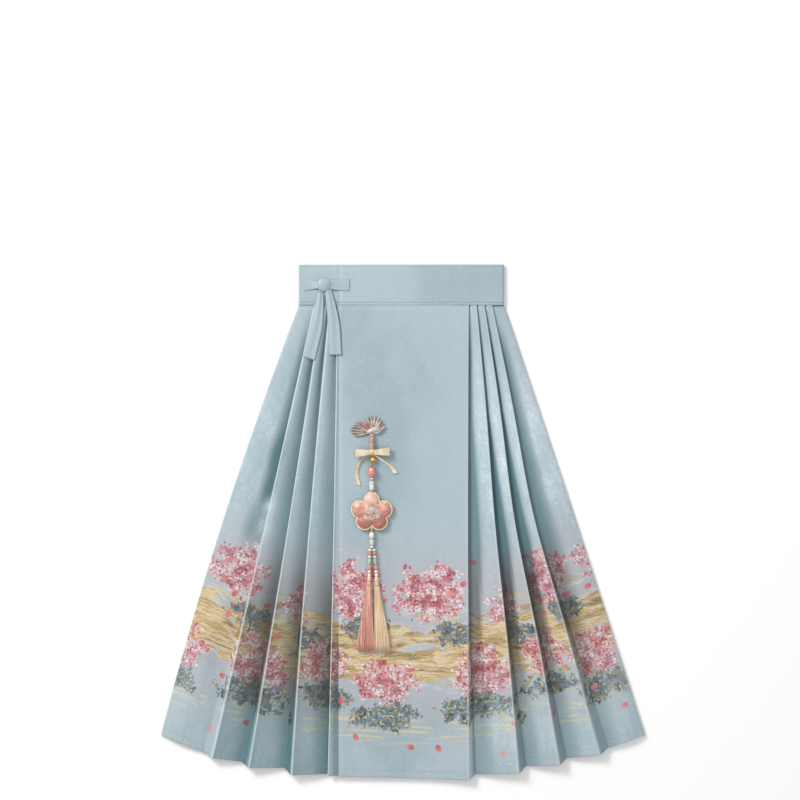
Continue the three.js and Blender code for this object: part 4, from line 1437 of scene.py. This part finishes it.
tassels = table(
    "name silk strandX topX endX wide lean",
    ("pink", "pinkSilk", -59.6, -60.6, -67.4, 1.08, -1),
    ("cream", "creamSilk", -52, -47.6, -36.6, 0.96, 0.6),
)
# each tassel: drop, length, height of its head, threads, the angle from one to the next, range of phases
tassel = {"top": 561, "long": 135, "headUp": 4.6, "count": 120, "angle": 2.39996, "phases": 6.28, "sides": 18}
headProfile = [(0.4, 0), (2.4, 0.03), (3.2, 0.12), (3.9, 0.3)]
headProfile += [(4.1 + 0.32 * (k % 2), 0.34 + 0.03 * k) for k in range(9)]
headProfile += [(4.0, 0.64), (4.5, 0.85), (4.7, 1.0)]
collarProfile = [(3.0, 0), (3.6, 0.4), (3.6, 0.7), (2.6, 1)]


def buildTassel(t, f):
    silk, topX, lean = f[t["silk"]], t["topX"], t["lean"]
    top, sides = tassel["top"], tassel["sides"]
    headZ = pendant["rest"] + tassel["headUp"]
    head = rowPlace(topX, top, headZ), rowPlace(topX + lean, top + 15, headZ)
    collar = rowPlace(topX, top - 0.6, headZ), rowPlace(topX, top + 2.6, headZ)
    parts = [turned(headProfile, *head, sides, silk), turned(collarProfile, *collar, sides, f["pearl"])]
    for k in range(tassel["count"]):
        r = math.sqrt((k + 0.5) / tassel["count"])
        a = k * tassel["angle"]
        across, up = r * math.cos(a), r * math.sin(a)
        uneven = random.uniform(-2.2, 2.2)
        endDrop = top + tassel["long"] - 1.0 - uneven - 4 * across * across
        phase, sway = random.uniform(0, tassel["phases"]), random.uniform(0.1, 0.7)
        path = []
        for i in range(10):
            s = i / 9
            spread = smooth(0, 1, s) * 0.4 + s * 0.6
            x = mix(topX + lean * 0.8 + across * 4.2, t["endX"] + across * 15.2 * t["wide"], spread)
            z = mix(headZ + up * 3.6, pendant["rest"] + 3.9 + up * 3.2, min(1, s * 1.5))
            wave = sway * math.sin(phase + s * 5) * s
            path.append(rowPlace(x + wave, mix(top + 12, endDrop, s), z + 0.3 * wave))
        radii = [0.55] + [0.72 - 0.1 * abs(s / 8 - 0.4) for s in range(8)] + [0.5]
        parts.append(tube(path, radii, 4, silk))
    assemble("tassel_silk_" + t["name"], parts, "tassel_" + t["name"], t["name"] + "_satin")


def buildString(name, node, start, end, beads, f):
    assemble(name, threaded(rowPlace(*start), rowPlace(*end), beads, f), node, "bead_glaze")


def buildPendant():
    f = pendantFinishes()
    x0, axis, rest = pendant["x"], pendant["axis"], pendant["rest"]
    (top, end), (first, last), (upper, lower) = pendant["middle"], pendant["lower"], pendant["strands"]
    buildClip(f)
    buildTopCord(f)
    buildBow(f)
    buildBell(f)
    ends = (x0, top, axis), (x0, end, axis)
    buildString("middle_beads", "pendant_beads_middle", *ends, middleBeads, f)
    buildSachet(f)
    ends = (x0, first, axis - 1), (x0, last, axis - 2)
    buildString("lower_beads", "pendant_beads_lower", *ends, lowerBeads, f)
    for t in tassels:
        ends = (t["strandX"], upper, axis - 2), (t["topX"], lower, rest + 4.8)
        buildString("bead_strand_" + t["name"], "pendant_strand_" + t["name"], *ends, strandBeads, f)
        buildTassel(t, f)


band = {
    "cloth": 1.7,
    "right": 181,
    "left": 187,
    "backZ": 1.0,
    "innerZ": frontBase + 0.5,
    "outerZ": frontBase + 2.9,
    "outer": (-116, -60, 0, 70, 130),
    "back": (90, 0, -90),
    "inner": (-120, -60, 0, 84),
    "drops": [0, 0.6, 2, 3.2, 4.4, 8, 16, 26, 36, 46, 56, 64, 67.6, 68.8, 70, 71.4, 72],
    "pressed": {0: 0.35, 3.2: 0.35, 68.8: 0.35, 72: 0.35},
    "hemUp": 420,
    "stitches": [424, 488],
}


def bandTurn(edge, frontZ, side):
    # round one side edge, from the front to the back
    centre, half = (frontZ + band["backZ"]) / 2, (frontZ - band["backZ"]) / 2
    angles = [math.radians(d) for d in (90, 60, 30, 0, -30, -60, -90)]
    return [(side * (edge - half * (1 - math.cos(a))), centre + half * math.sin(a)) for a in angles]


def buildBand():
    innerZ, outerZ = band["innerZ"], band["outerZ"]
    path = [(x, outerZ) for x in band["outer"]] + bandTurn(band["right"], outerZ, 1)
    path += [(x, band["backZ"]) for x in band["back"]] + bandTurn(band["left"], innerZ, -1)[::-1]
    path += [(x, innerZ) for x in band["inner"]]
    lines = []
    for drop in band["drops"]:
        press = band["pressed"].get(drop, 0)
        lines.append([(x, drop, z - press * (1 if z > 4 else 0), "") for x, z in path])
    grid = refine(lines, 9, 10)[0]
    rows, cols = grid.shape[:2]
    for j in range(rows):
        for i in range(cols):
            x, drop, z = grid[j, i]
            swell = 0.5 * noise.noise((x / 26, drop / 60, 2.0)) + 0.3 * noise.noise((x / 9, drop / 40, 7.0))
            inFront = min(1, max(0, (z - 3.8) / 1.4)) * smooth(0, 6, drop) * smooth(72, 66, drop)
            grid[j, i, 2] = z + max(0, 0.35 + swell) * inFront
    arc = np.concatenate([[0], np.cumsum(np.linalg.norm(np.diff(grid[0], axis=0), axis=1))])
    u = np.tile(arc, (rows, 1))
    v = np.tile(np.array(band["drops"])[:, None] + band["hemUp"], (1, cols))
    plain = printedCloth("band_cloth", band["stitches"], printed=False)
    # the band gets no painted light: all its values are zero
    paintedLightValues = {key: np.zeros((rows, cols)) for key in ("crease", "hollow", "gleam")}
    obj = clothShell("waistband_cloth", grid, u, v, paintedLightValues, plain, band["cloth"])
    dress(obj, "waistband")
    return plain


# the ties: each has a strap that goes to the knot and a tail that hangs from it
tie = {
    "width": 22,
    "narrow": 12,
    "tailTop": 11,
    "knot": (-142, 36),
    "knotSize": (12, 12.6, 4.5),
    "tailLong": 118,
    "cloth": 0.9,
}


def strap(path, plain):
    # path is x and height; a strap runs level, at the knot's drop, and narrows into the knot
    points = [(x, tie["knot"][1], z) for x, z in path]

    def width(s):
        return mix(tie["width"], tie["narrow"], s**1.5)

    return ribbonStrip(curvePath(points, 5), width, plain, 8, 0.3)


def tail(x, lean, start, knotZ, plain):
    # a loose end that sways down over the pleats and widens from the knot
    path = []
    for s in np.linspace(0, 1, 9):
        z = mix(knotZ, frontTop + 5.0, min(1, s * 2.2))
        path.append((x + lean * s + 2.5 * math.sin(s * 4), start + tie["tailLong"] * s, z))

    def width(s):
        return mix(tie["tailTop"], tie["width"], min(1, s * 1.8))

    return ribbonStrip(curvePath(path, 4), width, plain, 10, 1.0, 0.8)


def buildTies(plain):
    outerTop, innerTop = band["outerZ"] + 1, band["innerZ"] + 1
    knotZ = innerTop + 5.2
    kx, kd = tie["knot"]

    def fold(a, b):
        turns = math.cos(3 * b + 2.2 * math.cos(a)) * 0.09 * math.sin(a)
        return 1 + turns + 0.04 * math.cos(7 * b + 3 * a) * math.sin(a)

    outerPath = [(-96, outerTop + 0.9), (-108, outerTop + 1), (-120, outerTop + 1.5)]
    outerPath += [(-130, knotZ), (-138, knotZ)]
    innerPath = [(-178, innerTop + 0.9), (-170, innerTop + 1), (-162, innerTop + 2.2), (-152, knotZ - 0.6)]
    outerParts = [strap(outerPath, plain), tail(-135.5, 16, 44, knotZ, plain)]
    outer = assemble("tie_outer_strap", outerParts, "tie_outer", "band_cloth", shell=tie["cloth"])
    knotPart = lump(kx, kd, knotZ, tie["knotSize"], 16, 36, fold, plain)
    knot = assemble("tie_knot", [knotPart], "tie_outer", "band_cloth")
    parts = [strap(innerPath, plain)]
    inner = assemble("tie_inner_strap", parts, "tie_inner", "band_cloth", shell=tie["cloth"])
    parts = [tail(-149, -18, 50.5, knotZ, plain)]
    innerTail = assemble("tie_inner_tail_strap", parts, "tie_inner_tail", "band_cloth", shell=tie["cloth"])


buildStudio()
print("studio built")
buildCloth()
print("cloth built")
buildTies(buildBand())
print("band and ties built")
buildPendant()
print("pendant built")
